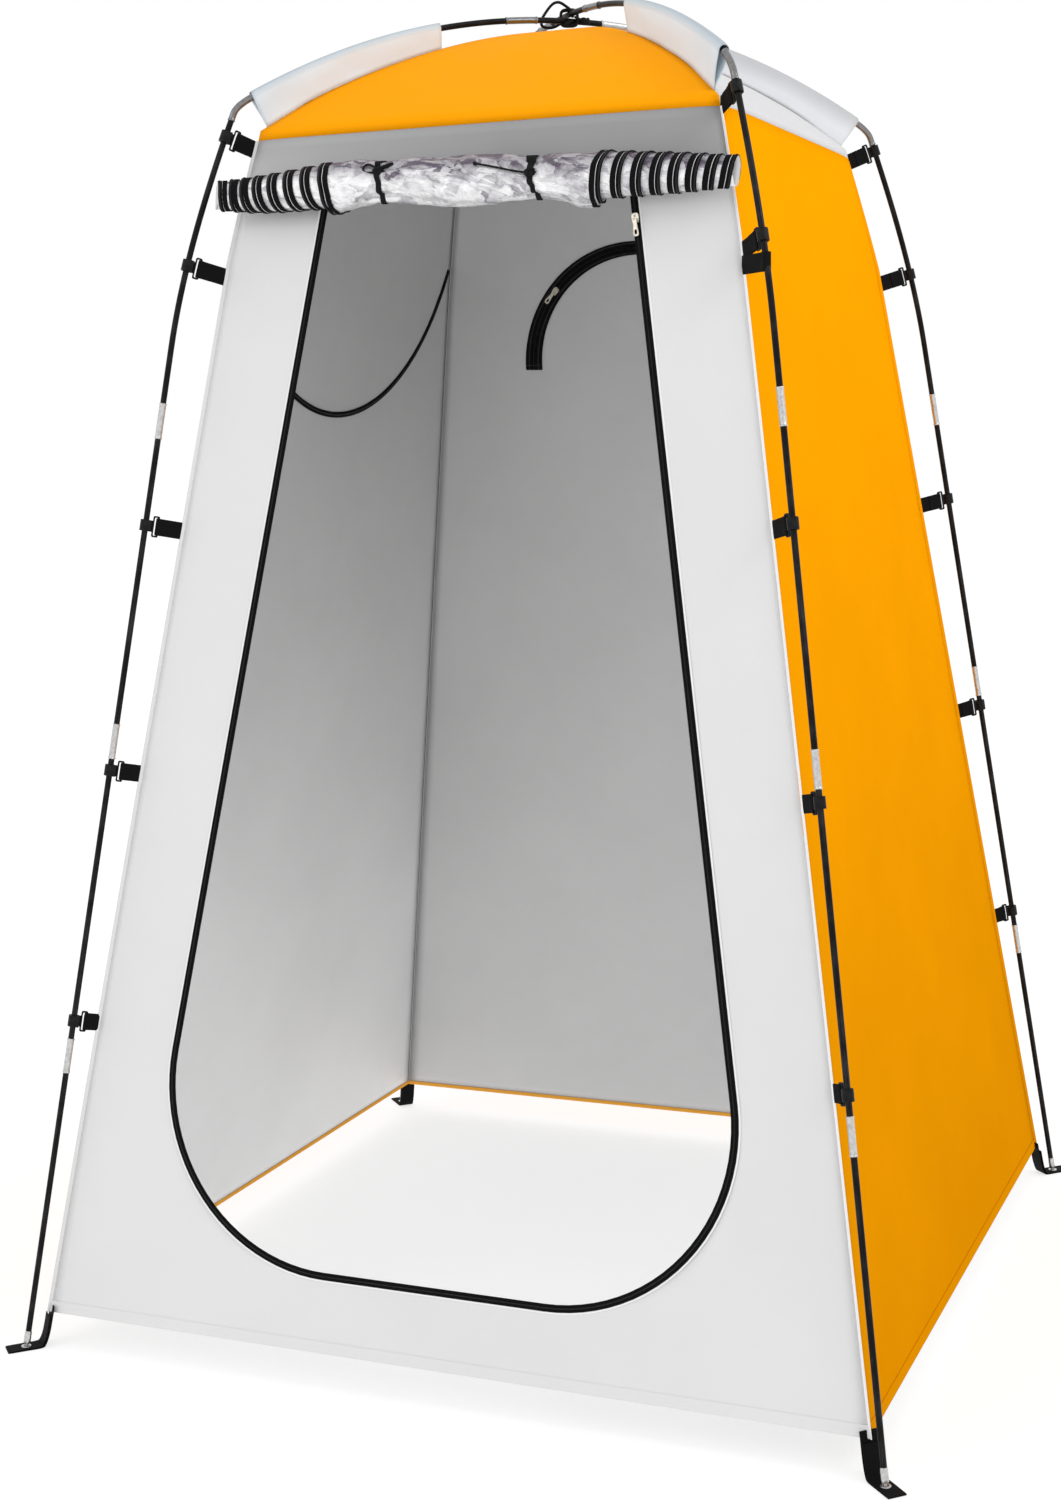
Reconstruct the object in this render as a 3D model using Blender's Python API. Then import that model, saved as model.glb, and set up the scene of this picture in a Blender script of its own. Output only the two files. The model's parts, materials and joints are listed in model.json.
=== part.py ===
"""Privacy shower tent: four sewn walls and a roof hung from two crossing shock-corded poles.

Metres, +Z up. The origin is on the ground under the middle of the tent, and the door faces -Y.
"""

import math

import bmesh
import bpy
from mathutils import Matrix, Vector
from mathutils.geometry import interpolate_bezier

GAP = 0.0003  # clearance kept between pieces that touch
EDGE = 0.0002  # length of a sudden step in a profile

# The cabin: a square pyramid stump of four walls
HEM_HALF = 0.600
HEM_Z = 0.049
EAVE_HALF = 0.346
EAVE_Z = 1.698
CLOTH = 0.002
SEAM_SETBACK = 0.0024  # each wall and roof panel stops this far short of its corner seam

# Roof panels: straight across, curved along the hips, which follow a power curve
HIP_APEX_Z = 1.870
HIP_DROP = 0.158
HIP_REACH = 0.485
ROOF_VENT = 0.010  # the hips stop this far from the axis
HIP_POWER = 1.75

# Poles, measured in the vertical plane of each diagonal: (distance from the axis, height)
POLE_RADIUS = 0.00425
FERRULE_RADIUS = 0.0052
FERRULE_LENGTH = 0.050
TIP_RADIUS = 0.0026
SECTION = 0.4534
FOOT_REACH = 0.8850
SHOULDER_Z = 0.0058
TIP_Z = 0.0015
BEND_START = Vector((0.6138, 1.415))
ELBOW_START = Vector((0.5125, 1.734))
ELBOW_LEAN = 22.0
ARCH_REACH = 0.474
ARCH_SPAN = 0.457  # the arch has dropped by ARCH_DROP at this reach
ARCH_DROP = 0.112
ARCH_POWER = 2.1
ARCH_TOP = {"lower": 1.8845, "upper": 1.8938}
BEND_HANDLE = 0.110
ELBOW_HANDLE = 0.011
ARCH_HANDLE = 0.022
BEND_POINTS = 9
ELBOW_POINTS = 8
ARCH_POINTS = 14

# Pole sleeves of the roof
SLEEVE_INNER = 0.204
SLEEVE_OUTER = 0.486
SLEEVE_CLOTH = 0.0008
SLEEVE_RADIUS = 0.0078
SLEEVE_LIFT = 0.0015  # the foot of the sleeve stands this far above the hip seam
SLEEVE_FOOT_HALF = 0.0016

# Hooks and their webbing straps, counted from the top down
HOOK_HEIGHTS = (1.526, 1.169, 0.827, 0.472)
TOP_HOOK_HEIGHT = {
    "front_left": 1.702,
    "front_right": 1.715,
    "rear_right": 1.715,
    "rear_left": 1.702,
}
HOOK_INNER = 0.0050
HOOK_OUTER = 0.0078
HOOK_LIP_ANGLE = 118
HOOK_CLIP_HEIGHT = 0.016
HOOK_PLATE_HEIGHT = 0.030
HOOK_PLATE_REACH = 0.019
HOOK_PLATE_THICK = 0.0026
HOOK_STEM_REACH = 0.0098
HOOK_STEM_OVERLAP = 0.0008
SLOT_NEAR = -0.0119
SLOT_FAR = -0.0163
SLOT_ROOM = 0.0006
HOOK_SWIVEL_ROOM = 0.0010
WEBBING_WIDTH = 0.024
WEBBING_THICK = 0.0012
SEAM_FIN = 0.006

# Door opening in the front wall; heights are measured up the slope of the wall
DOOR_TOP = 1.585
DOOR_TOP_HALF = 0.222
DOOR_FLARE = 0.1568
DOOR_BOTTOM = 0.105
DOOR_CORNER = 0.250
DOOR_ZIP_WIDTH = 0.010
ZIP_THICK = 0.0016
SLIDER_THICK = 0.0042
PULL_THICK = 0.0014
PULL_PIVOT = (-0.001, 0.0021)  # along the slider and above its face

# Window zips on the inner faces: arc centre across and up the wall, radius, angles, width
BACK_WINDOW = {"centre": (0.030, 1.361), "radius": 0.194, "arc": (0, 180), "width": 0.030}
LEFT_WINDOW = {"centre": (0.000, 1.670), "radius": 0.382, "arc": (-159, -21), "width": 0.009}
DOOR_SLIDER_HEIGHT = 1.528
BACK_SLIDER_ANGLE = 42
LEFT_SLIDER_ANGLE = -36

# Rolled-up door, which hangs a little lower at its right end
ROLL_Z = 1.616
ROLL_TILT = 2.0
ROLL_RADIUS = 0.030
ROLL_END_RADIUS = 0.0225
ROLL_HALF_LENGTH = 0.380
ROLL_FULL_HALF = 0.200
ROLL_END_BEVEL = 0.0010
ROLL_CLEARANCE = 0.0042
TIE_PLACES = {"left": -0.117, "right": 0.103}
TIE_WIDTH = 0.008
TIE_THICK = 0.0020

# Cord band round the crossing of the poles
APEX_TIE_ROOM = 0.0008
APEX_TIE_THICK = 0.0026
APEX_TIE_SIDE = 0.0042
APEX_TIE_WIDTH = 0.0050

# Feet
FOOT_WIDTH = 0.026
FOOT_THICK = 0.0035
FOOT_END = 0.912
FOOT_BEND = 0.012  # the foot meets the ground this far out from the hem corner
FOOT_NECK = 0.0035
FOOT_NOSE = 0.0010
EYELET_RADIUS = 0.0042

CORNERS = {
    "front_left": (-1, -1),
    "front_right": (1, -1),
    "rear_right": (1, 1),
    "rear_left": (-1, 1),
}
SIDES = {"front": 0, "right": 90, "back": 180, "left": 270}
WALL_CLOTH = {
    "front": "grey_cloth",
    "right": "orange_cloth",
    "back": "orange_cloth",
    "left": "orange_cloth",
}
ROOF_CLOTH = {
    "front": "orange_cloth",
    "right": "grey_cloth",
    "back": "orange_cloth",
    "left": "grey_cloth",
}

# name: (colour, roughness, metallic)
MATERIALS = {
    "grey_cloth": ((0.72, 0.72, 0.73, 1), 0.60, 0.0),
    "orange_cloth": ((0.95, 0.40, 0.02, 1), 0.60, 0.0),
    "white_cloth": ((0.85, 0.85, 0.86, 1), 0.60, 0.0),
    "silver_coating": ((0.62, 0.61, 0.64, 1), 0.35, 0.4),
    "black_webbing": ((0.015, 0.015, 0.016, 1), 0.80, 0.0),
    "black_plastic": ((0.010, 0.010, 0.011, 1), 0.45, 0.0),
    "fibreglass": ((0.014, 0.014, 0.015, 1), 0.35, 0.0),
    "zip_tape": ((0.012, 0.012, 0.013, 1), 0.75, 0.0),
    "zinc": ((0.72, 0.66, 0.52, 1), 0.30, 1.0),
}


def clear_scene():
    for old in list(bpy.data.objects):
        bpy.data.objects.remove(old, do_unlink=True)


def make_material(name):
    colour, roughness, metallic = MATERIALS[name]
    material = bpy.data.materials.get(name) or bpy.data.materials.new(name)
    material.use_nodes = True
    shader = material.node_tree.nodes["Principled BSDF"]
    shader.inputs["Base Color"].default_value = colour
    shader.inputs["Roughness"].default_value = roughness
    shader.inputs["Metallic"].default_value = metallic
    return material


def add_object(name, data, material, matrix=None):
    thing = bpy.data.objects.new(name, data)
    bpy.context.scene.collection.objects.link(thing)
    if not data.materials:
        data.materials.append(make_material(material))
    if matrix is not None:
        thing.matrix_world = matrix
    return thing


def mesh_from(bm, name):
    bmesh.ops.recalc_face_normals(bm, faces=bm.faces)
    mesh = bpy.data.meshes.new(name)
    bm.to_mesh(mesh)
    bm.free()
    mesh.shade_smooth()
    mesh.set_sharp_from_angle(angle=math.radians(35))
    return mesh


def plate_mesh(name, outline, low, high, holes=()):
    """A flat plate between two depths, cut to an outline, with holes."""
    bm = bmesh.new()
    edges = []
    for loop in (outline, *holes):
        verts = [bm.verts.new((x, y, low)) for x, y in loop]
        edges += [bm.edges.new((a, b)) for a, b in zip(verts, verts[1:] + verts[:1])]
    bmesh.ops.triangle_fill(bm, edges=edges, use_beauty=True)
    grown = bmesh.ops.extrude_face_region(bm, geom=bm.faces[:])
    top = [item for item in grown["geom"] if isinstance(item, bmesh.types.BMVert)]
    bmesh.ops.translate(bm, verts=top, vec=(0, 0, high - low))
    return mesh_from(bm, name)


def ring_stack_mesh(name, rings, closed=False):
    """Skin a row of rings of equal size; closed joins the last ring to the first, else ends are capped."""
    bm = bmesh.new()
    rows = [[bm.verts.new(point) for point in ring] for ring in rings]
    pairs = list(zip(rows, rows[1:]))
    if closed:
        pairs.append((rows[-1], rows[0]))
    for near, far in pairs:
        count = len(near)
        for i in range(count):
            j = (i + 1) % count
            bm.faces.new((near[i], near[j], far[j], far[i]))
    if not closed:
        bm.faces.new(rows[0])
        bm.faces.new(rows[-1])
    return mesh_from(bm, name)


def arc(centre, radius, start, end, steps):
    """Points on an arc, angles in degrees."""
    for i in range(steps + 1):
        angle = math.radians(start + (end - start) * i / steps)
        yield Vector((centre[0] + radius * math.cos(angle), centre[1] + radius * math.sin(angle)))


# ---------------------------------------------------------------- frames of reference


def wall_lean():
    return math.atan2(HEM_HALF - EAVE_HALF, EAVE_Z - HEM_Z)


def wall_matrix(side):
    """Local X runs across the wall, Y up its slope, Z out of its outer face; the origin is mid-hem."""
    lean = wall_lean()
    across = Vector((1, 0, 0))
    up = Vector((0, math.sin(lean), math.cos(lean)))
    out = across.cross(up)
    frame = Matrix((across, up, out)).transposed().to_4x4()
    frame.translation = (0, -HEM_HALF, HEM_Z)
    return Matrix.Rotation(math.radians(SIDES[side]), 4, "Z") @ frame


def wall_slope_height():
    return (EAVE_Z - HEM_Z) / math.cos(wall_lean())


def corner_direction(corner):
    return Vector((*CORNERS[corner], 0)).normalized()


def corner_matrix(corner):
    """Local X runs outwards along the diagonal, Y up, Z sideways."""
    out = corner_direction(corner)
    up = Vector((0, 0, 1))
    return Matrix((out, up, out.cross(up))).transposed().to_4x4()


def seam_reach(z):
    """Distance of the corner seam from the tent's axis; above the eave it goes straight up."""
    rise = (min(z, EAVE_Z) - HEM_Z) / (EAVE_Z - HEM_Z)
    return (HEM_HALF - (HEM_HALF - EAVE_HALF) * rise) * math.sqrt(2)


def hip_z(reach):
    return HIP_APEX_Z - HIP_DROP * (reach / HIP_REACH) ** HIP_POWER


# ---------------------------------------------------------------- poles


def arch_z(reach, top):
    return top - ARCH_DROP * (reach / ARCH_SPAN) ** ARCH_POWER


def pole_profile(top):
    """Half a pole from its tip to the crossing, as (reach, z) points."""
    foot = Vector((FOOT_REACH, TIP_Z))
    leg = (BEND_START - foot).normalized()
    lean = math.radians(ELBOW_LEAN)
    upward = Vector((-math.sin(lean), math.cos(lean)))
    arch_end = Vector((ARCH_REACH, arch_z(ARCH_REACH, top)))
    slope = ARCH_POWER * (top - arch_end.y) / ARCH_REACH
    inward = Vector((-1, slope)).normalized()
    bend_handles = (BEND_START + leg * BEND_HANDLE, ELBOW_START - upward * BEND_HANDLE)
    elbow_handles = (ELBOW_START + upward * ELBOW_HANDLE, arch_end - inward * ARCH_HANDLE)
    bend = interpolate_bezier(BEND_START, *bend_handles, ELBOW_START, BEND_POINTS)
    elbow = interpolate_bezier(ELBOW_START, *elbow_handles, arch_end, ELBOW_POINTS)[1:]
    arch = []
    for i in range(1, ARCH_POINTS + 1):
        reach = ARCH_REACH * (1 - i / ARCH_POINTS)
        arch.append(Vector((reach, arch_z(reach, top))))
    return [foot, *[point.xy for point in bend + elbow], *arch]


def lengths_along(points):
    total = [0.0]
    for a, b in zip(points, points[1:]):
        total.append(total[-1] + (b - a).length)
    return total


def point_at(points, distance):
    total = lengths_along(points)
    for i in range(1, len(points)):
        if distance <= total[i]:
            part = (distance - total[i - 1]) / (total[i] - total[i - 1])
            return points[i - 1].lerp(points[i], part)
    return points[-1].copy()


def distance_at_height(points, z):
    """Distance along a rising profile at which it reaches a height."""
    total = lengths_along(points)
    for i in range(1, len(points)):
        if z <= points[i].y:
            part = (z - points[i - 1].y) / (points[i].y - points[i - 1].y)
            return total[i - 1] + part * (total[i] - total[i - 1])
    return total[-1]


def distance_at_reach(points, reach):
    """Distance along an inward profile at which it comes within a reach of the axis."""
    total = lengths_along(points)
    for i in range(1, len(points)):
        if reach >= points[i].x:
            part = (points[i - 1].x - reach) / (points[i - 1].x - points[i].x)
            return total[i - 1] + part * (total[i] - total[i - 1])
    return total[-1]


def stations(profile, start, end, ferrules):
    """(point, radius) pairs along a stretch of pole, with a step at each end of each ferrule."""
    marks = {start: POLE_RADIUS, end: POLE_RADIUS}
    for distance in lengths_along(profile):
        if start < distance < end:
            marks[distance] = POLE_RADIUS
    for low, high in ferrules:
        for distance in [d for d in marks if low <= d <= high]:
            marks[distance] = FERRULE_RADIUS
        if low - EDGE > start:
            marks[low - EDGE] = POLE_RADIUS
        if high + EDGE < end:
            marks[high + EDGE] = POLE_RADIUS
        marks[max(low, start)] = FERRULE_RADIUS
        marks[min(high, end)] = FERRULE_RADIUS
    return [(point_at(profile, d), marks[d]) for d in sorted(marks)]


def tube(name, places, radii, material, matrix=None):
    curve = bpy.data.curves.new(name, "CURVE")
    curve.dimensions = "3D"
    curve.bevel_depth = 1.0
    curve.bevel_resolution = 2
    curve.use_fill_caps = True
    spline = curve.splines.new("POLY")
    spline.points.add(len(places) - 1)
    for point, place, radius in zip(spline.points, places, radii):
        point.co = (*place, 1)
        point.radius = radius
    return add_object(name, curve, material, matrix)


def ferrule_ranges():
    return [(SECTION * n - FERRULE_LENGTH, SECTION * n) for n in range(1, 6)]


def build_leg(corner, top):
    """Four pole sections from the tip to the joint at the shoulder of the roof."""
    profile = pole_profile(top)
    marks = stations(profile, 0.0, 4 * SECTION, ferrule_ranges()[:4])
    shoulder = distance_at_height(profile, SHOULDER_Z)
    marks = [mark for mark in marks if (mark[0] - profile[0]).length > shoulder]
    tip = [
        (profile[0], TIP_RADIUS),
        (point_at(profile, shoulder - EDGE), TIP_RADIUS),
        (point_at(profile, shoulder), POLE_RADIUS),
    ]
    marks = tip + marks
    places = [(point.x, point.y, 0) for point, _ in marks]
    tube(f"leg_pole_{corner}", places, [radius for _, radius in marks], "fibreglass", corner_matrix(corner))


def build_arch(level, corner):
    """The roof arch between the two shoulder joints of one pole."""
    profile = pole_profile(ARCH_TOP[level])
    marks = stations(profile, 4 * SECTION + GAP, lengths_along(profile)[-1], ferrule_ranges()[4:])
    near = [(point.x, point.y, 0) for point, _ in marks]
    far = [(-x, y, 0) for x, y, _ in reversed(near[:-1])]
    radii = [radius for _, radius in marks]
    tube(f"arch_pole_{level}", near + far, radii + radii[-2::-1], "fibreglass", corner_matrix(corner))


# ---------------------------------------------------------------- cloth


def door_path(offset=0.0):
    """Door edge from top left, round the bottom, to top right; offset grows the opening."""
    lean = math.atan(DOOR_FLARE)
    radius = DOOR_CORNER + offset
    centre_y = DOOR_BOTTOM + DOOR_CORNER
    edge_x = DOOR_TOP_HALF + (DOOR_TOP - centre_y) * DOOR_FLARE
    centre_x = edge_x - DOOR_CORNER / math.cos(lean)
    corner = list(arc((centre_x, centre_y), radius, -90, math.degrees(lean), 14))
    right = [*corner, Vector((DOOR_TOP_HALF + offset / math.cos(lean), DOOR_TOP))]
    left = [Vector((-point.x, point.y)) for point in reversed(right)]
    return left + right


def arc_path(window):
    return list(arc(window["centre"], window["radius"], *window["arc"], 24))


def ribbon_outline(path, width):
    """The closed outline of a flat ribbon along a path."""
    left, right = [], []
    for i, point in enumerate(path):
        along = (path[min(i + 1, len(path) - 1)] - path[max(i - 1, 0)]).normalized()
        side = Vector((-along.y, along.x)) * width / 2
        left.append(point + side)
        right.append(point - side)
    return left + right[::-1]


def build_walls():
    height = wall_slope_height()
    inset = SEAM_SETBACK
    outline = [
        (-HEM_HALF + inset, 0),
        (HEM_HALF - inset, 0),
        (EAVE_HALF - inset, height - inset),
        (-EAVE_HALF + inset, height - inset),
    ]
    for side in SIDES:
        holes = [door_path(-DOOR_ZIP_WIDTH / 2)] if side == "front" else []
        name = f"wall_{side}"
        mesh = plate_mesh(name, outline, -CLOTH, 0, holes)
        add_object(name, mesh, WALL_CLOTH[side], wall_matrix(side))


def roof_profile():
    """Outer face of a roof panel from the eave to the top, as (distance from the axis, height)."""
    points = [Vector((EAVE_HALF, EAVE_Z + GAP))]
    steps = 8
    for i in range(steps + 1):
        reach = HIP_REACH - (HIP_REACH - ROOF_VENT) * i / steps
        points.append(Vector((reach / math.sqrt(2), hip_z(reach))))
    return points


def build_roof():
    profile = roof_profile()
    rows = []
    for i, point in enumerate(profile):
        along = (profile[min(i + 1, len(profile) - 1)] - profile[max(i - 1, 0)]).normalized()
        under = point - Vector((along.y, -along.x)) * CLOTH
        edge = point.x - SEAM_SETBACK
        under_edge = min(edge, under.x - SEAM_SETBACK)
        rows.append(
            [
                (-edge, -point.x, point.y),
                (edge, -point.x, point.y),
                (under_edge, -under.x, under.y),
                (-under_edge, -under.x, under.y),
            ]
        )
    for side, degrees in SIDES.items():
        name = f"roof_{side}"
        mesh = ring_stack_mesh(name, rows)
        add_object(name, mesh, ROOF_CLOTH[side], Matrix.Rotation(math.radians(degrees), 4, "Z"))


def sleeve_depth(pole, up):
    """How far below the pole, against up, the hip seam lies."""
    depth = 0.0
    while (pole - up * depth).y > hip_z((pole - up * depth).x) + SLEEVE_LIFT:
        depth += EDGE
    return depth


def sleeve_section(pole, up, depth, shrink):
    """Drop-shaped loop round the pole and down to the hip seam."""
    points = [(p.x, p.y) for p in arc((0, 0), SLEEVE_RADIUS - shrink, -20, 200, 8)]
    foot_half = SLEEVE_FOOT_HALF - shrink * 0.75
    points += [(-foot_half, shrink - depth), (foot_half, shrink - depth)]
    return [(pole.x + up.x * y, pole.y + up.y * y, x) for x, y in points]


def build_sleeve(corner, profile):
    inner, outer = [], []
    steps = 10
    start = distance_at_reach(profile, SLEEVE_OUTER)
    length = distance_at_reach(profile, SLEEVE_INNER) - start
    for i in range(steps):
        distance = start + length * i / (steps - 1)
        pole = point_at(profile, distance)
        along = (point_at(profile, distance + 0.003) - pole).normalized()
        up = (Vector((along.y, -along.x)) + Vector((0, 1))).normalized()
        depth = sleeve_depth(pole, up)
        outer.append(sleeve_section(pole, up, depth, 0))
        inner.append(sleeve_section(pole, up, depth, SLEEVE_CLOTH))
    bm = bmesh.new()
    skins = [[[bm.verts.new(p) for p in ring] for ring in skin] for skin in (outer, inner)]
    count = len(outer[0])
    for skin in skins:
        for near, far in zip(skin, skin[1:]):
            for k in range(count):
                bm.faces.new((near[k], near[(k + 1) % count], far[(k + 1) % count], far[k]))
    for end in (0, -1):
        for k in range(count):
            j = (k + 1) % count
            bm.faces.new((skins[0][end][k], skins[0][end][j], skins[1][end][j], skins[1][end][k]))
    name = f"pole_sleeve_{corner}"
    add_object(name, mesh_from(bm, name), "white_cloth", corner_matrix(corner))


def build_seam_tape(corner, profile):
    """Flat tape standing out of a corner seam, with its five hook straps."""
    start = GAP + EDGE
    outline = [(seam_reach(HEM_Z) + start, HEM_Z), (seam_reach(HEM_Z) + SEAM_FIN, HEM_Z)]
    for z in reversed(hook_heights(corner)):
        pole = point_at(profile, distance_at_height(profile, z))
        lean = pole_lean(profile, z)
        outwards = Vector((math.cos(lean), math.sin(lean)))
        along = Vector((-math.sin(lean), math.cos(lean))) * WEBBING_WIDTH / 2
        end = pole - outwards * (HOOK_PLATE_REACH + HOOK_SWIVEL_ROOM)
        low, high = end - along, end + along
        outline += [(seam_reach(low.y) + SEAM_FIN, low.y), low, high]
        outline.append((seam_reach(high.y) + SEAM_FIN, high.y))
    outline.append((seam_reach(outline[-1][1]) + start, outline[-1][1]))
    outline.append((seam_reach(EAVE_Z) + start, EAVE_Z))
    name = f"seam_tape_{corner}"
    mesh = plate_mesh(name, outline, -WEBBING_THICK / 2, WEBBING_THICK / 2)
    add_object(name, mesh, "black_webbing", corner_matrix(corner))


# ---------------------------------------------------------------- hooks and feet


def pole_lean(profile, z):
    """Angle of the pole from the vertical at a height."""
    distance = distance_at_height(profile, z)
    along = point_at(profile, distance + 0.004) - point_at(profile, distance - 0.004)
    return math.atan2(-along.x, along.y)


def hook_mesh():
    """Snap hook: a C-shaped clip round the pole (local Z) and a webbing slot towards local -X."""
    half = (HOOK_PLATE_THICK - EDGE) / 2
    outer_start = -180 + math.degrees(math.asin(half / HOOK_OUTER))
    inner_end = -180 - math.degrees(math.asin(half / HOOK_INNER))
    outer = list(arc((0, 0), HOOK_OUTER, outer_start, HOOK_LIP_ANGLE, 11))
    inner = list(arc((0, 0), HOOK_INNER, HOOK_LIP_ANGLE, inner_end, 12))
    stem_end = -HOOK_STEM_REACH - HOOK_STEM_OVERLAP
    tail = [Vector((stem_end, half)), Vector((stem_end, -half))]
    clip_mesh = plate_mesh("clip", outer + inner + tail, -HOOK_CLIP_HEIGHT / 2, HOOK_CLIP_HEIGHT / 2)
    clip = add_object("clip", clip_mesh, "black_plastic")
    half = HOOK_PLATE_THICK / 2
    high = HOOK_PLATE_HEIGHT / 2
    near, far = -HOOK_STEM_REACH, -HOOK_PLATE_REACH
    frame_outline = [(far, -high), (near, -high), (near, high), (far, high)]
    tall = WEBBING_WIDTH / 2 + SLOT_ROOM
    slot = [(SLOT_FAR, -tall), (SLOT_NEAR, -tall), (SLOT_NEAR, tall), (SLOT_FAR, tall)]
    frame_mesh = plate_mesh("slot_frame", frame_outline, -half, half, [slot])
    frame_mesh.transform(Matrix.Rotation(math.radians(90), 4, "X"))
    frame = add_object("slot_frame", frame_mesh, "black_plastic")
    union = clip.modifiers.new("join", "BOOLEAN")
    union.operation = "UNION"
    union.object = frame
    joined = clip.evaluated_get(bpy.context.evaluated_depsgraph_get())
    mesh = bpy.data.meshes.new_from_object(joined)
    for part in (clip, frame):
        bpy.data.objects.remove(part, do_unlink=True)
    mesh.name = "snap_hook"
    return mesh


def hook_heights(corner):
    return (TOP_HOOK_HEIGHT[corner], *HOOK_HEIGHTS)


def hook_matrix(corner, profile, z):
    """Local Z up the pole, local X outwards, origin on the pole's axis."""
    point = point_at(profile, distance_at_height(profile, z))
    tilt = Matrix.Rotation(pole_lean(profile, z), 4, "Z")
    local = Matrix.Translation((point.x, point.y, 0)) @ tilt @ Matrix.Rotation(math.radians(-90), 4, "X")
    return corner_matrix(corner) @ local


def build_hooks(corner, profile, mesh):
    for number, z in enumerate(hook_heights(corner), 1):
        add_object(f"hook_{corner}_{number}", mesh, "black_plastic", hook_matrix(corner, profile, z))


def build_foot(corner):
    """Webbing foot: hangs from the hem corner, lies outwards on the ground and takes the pole's tip."""
    corner_reach = seam_reach(HEM_Z)
    top = HEM_Z - 2 * GAP
    bend = corner_reach + FOOT_BEND
    outline = [
        (corner_reach - FOOT_NECK, top),
        (bend - FOOT_THICK, FOOT_THICK * 0.4),
        (bend - FOOT_THICK * 0.6, 0),
        (FOOT_END - FOOT_NOSE, 0),
        (FOOT_END, FOOT_THICK * 0.5),
        (FOOT_END - FOOT_NOSE, FOOT_THICK),
        (bend + FOOT_NOSE, FOOT_THICK),
        (corner_reach, top),
    ]
    name = f"foot_{corner}"
    mesh = plate_mesh(name, outline, -FOOT_WIDTH / 2, FOOT_WIDTH / 2)
    foot = add_object(name, mesh, "black_webbing", corner_matrix(corner))
    bm = bmesh.new()
    hole = {"radius1": EYELET_RADIUS, "radius2": EYELET_RADIUS, "depth": 5 * EYELET_RADIUS}
    bmesh.ops.create_cone(bm, cap_ends=True, segments=16, **hole)
    punch = add_object(f"punch_{corner}", mesh_from(bm, f"punch_{corner}"), "black_webbing")
    punch.location = corner_direction(corner) * FOOT_REACH
    punch.hide_render = True
    punch.display_type = "WIRE"
    cut = foot.modifiers.new("eyelet", "BOOLEAN")
    cut.operation = "DIFFERENCE"
    cut.object = punch


# ---------------------------------------------------------------- zips


def wall_patch(name, outline, low, high, material, side, holes=()):
    return add_object(name, plate_mesh(name, outline, low, high, holes), material, wall_matrix(side))


def build_zip_tapes():
    outline = ribbon_outline(door_path(), DOOR_ZIP_WIDTH)
    wall_patch("door_zip", outline, GAP, GAP + ZIP_THICK, "zip_tape", "front")
    for side, window in (("back", BACK_WINDOW), ("left", LEFT_WINDOW)):
        outline = ribbon_outline(arc_path(window), window["width"])
        low = -CLOTH - GAP - ZIP_THICK
        wall_patch(f"{side}_window_zip", outline, low, low + ZIP_THICK, "zip_tape", side)


def slider_outline():
    return [
        (-0.0042, -0.006),
        (0.0042, -0.006),
        (0.0050, 0.003),
        (0.0034, 0.007),
        (-0.0034, 0.007),
        (-0.0050, 0.003),
    ]


def pull_outline():
    return [
        (-0.0020, 0.0012),
        (0.0020, 0.0012),
        (0.0026, -0.008),
        (0.0040, -0.020),
        (0.0026, -0.024),
        (-0.0026, -0.024),
        (-0.0040, -0.020),
        (-0.0026, -0.008),
    ]


def build_slider(name, side, place, turn, outwards):
    """A zip slider and its pull; the pull's origin is on its own hinge."""
    tape_face = GAP + ZIP_THICK if outwards else -CLOTH - GAP - ZIP_THICK
    sign = 1 if outwards else -1
    spin = Matrix.Rotation(math.radians(turn), 4, "Z")
    base = wall_matrix(side) @ Matrix.Translation((*place, tape_face + sign * GAP)) @ spin
    low, high = sorted((0.0, sign * SLIDER_THICK))
    slider = plate_mesh(f"{name}_slider", slider_outline(), low, high)
    add_object(f"{name}_slider", slider, "zinc", base)
    along, above = PULL_PIVOT
    pivot = base @ Matrix.Translation((0, along, sign * (SLIDER_THICK + above)))
    pull = plate_mesh(f"{name}_pull", pull_outline(), -PULL_THICK / 2, PULL_THICK / 2)
    add_object(f"{name}_pull", pull, "zinc", pivot)


def build_sliders():
    edge_x = DOOR_TOP_HALF + (DOOR_TOP - DOOR_SLIDER_HEIGHT) * DOOR_FLARE
    lean = math.degrees(math.atan(DOOR_FLARE))
    build_slider("door_zip", "front", (edge_x, DOOR_SLIDER_HEIGHT), lean, True)
    for name, side, window, angle in (
        ("back_zip", "back", BACK_WINDOW, BACK_SLIDER_ANGLE),
        ("left_zip", "left", LEFT_WINDOW, LEFT_SLIDER_ANGLE),
    ):
        place = next(arc(window["centre"], window["radius"], angle, angle, 1))
        turn = angle if angle > 0 else angle + 90
        build_slider(name, side, place, turn, False)


# ---------------------------------------------------------------- rolled door and ties


def roll_matrix():
    """Local X along the rolled door, Z away from the wall; the origin is the middle of the roll."""
    up_slope = (ROLL_Z - HEM_Z) / math.cos(wall_lean())
    middle = Matrix.Translation((0, up_slope, ROLL_RADIUS + ROLL_CLEARANCE))
    return wall_matrix("front") @ middle @ Matrix.Rotation(math.radians(-ROLL_TILT), 4, "Z")


def build_rolled_door():
    tip_radius = ROLL_END_RADIUS - ROLL_END_BEVEL
    half = (
        (ROLL_FULL_HALF, ROLL_RADIUS),
        (ROLL_HALF_LENGTH - ROLL_END_BEVEL, ROLL_END_RADIUS),
        (ROLL_HALF_LENGTH, tip_radius),
    )
    rings = []
    for x, radius in [(-x, radius) for x, radius in reversed(half)] + list(half):
        rings.append([(x, p.x, p.y) for p in list(arc((0, 0), radius, 0, 360, 28))[:-1]])
    add_object("rolled_door", ring_stack_mesh("rolled_door", rings), "silver_coating", roll_matrix())


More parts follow.
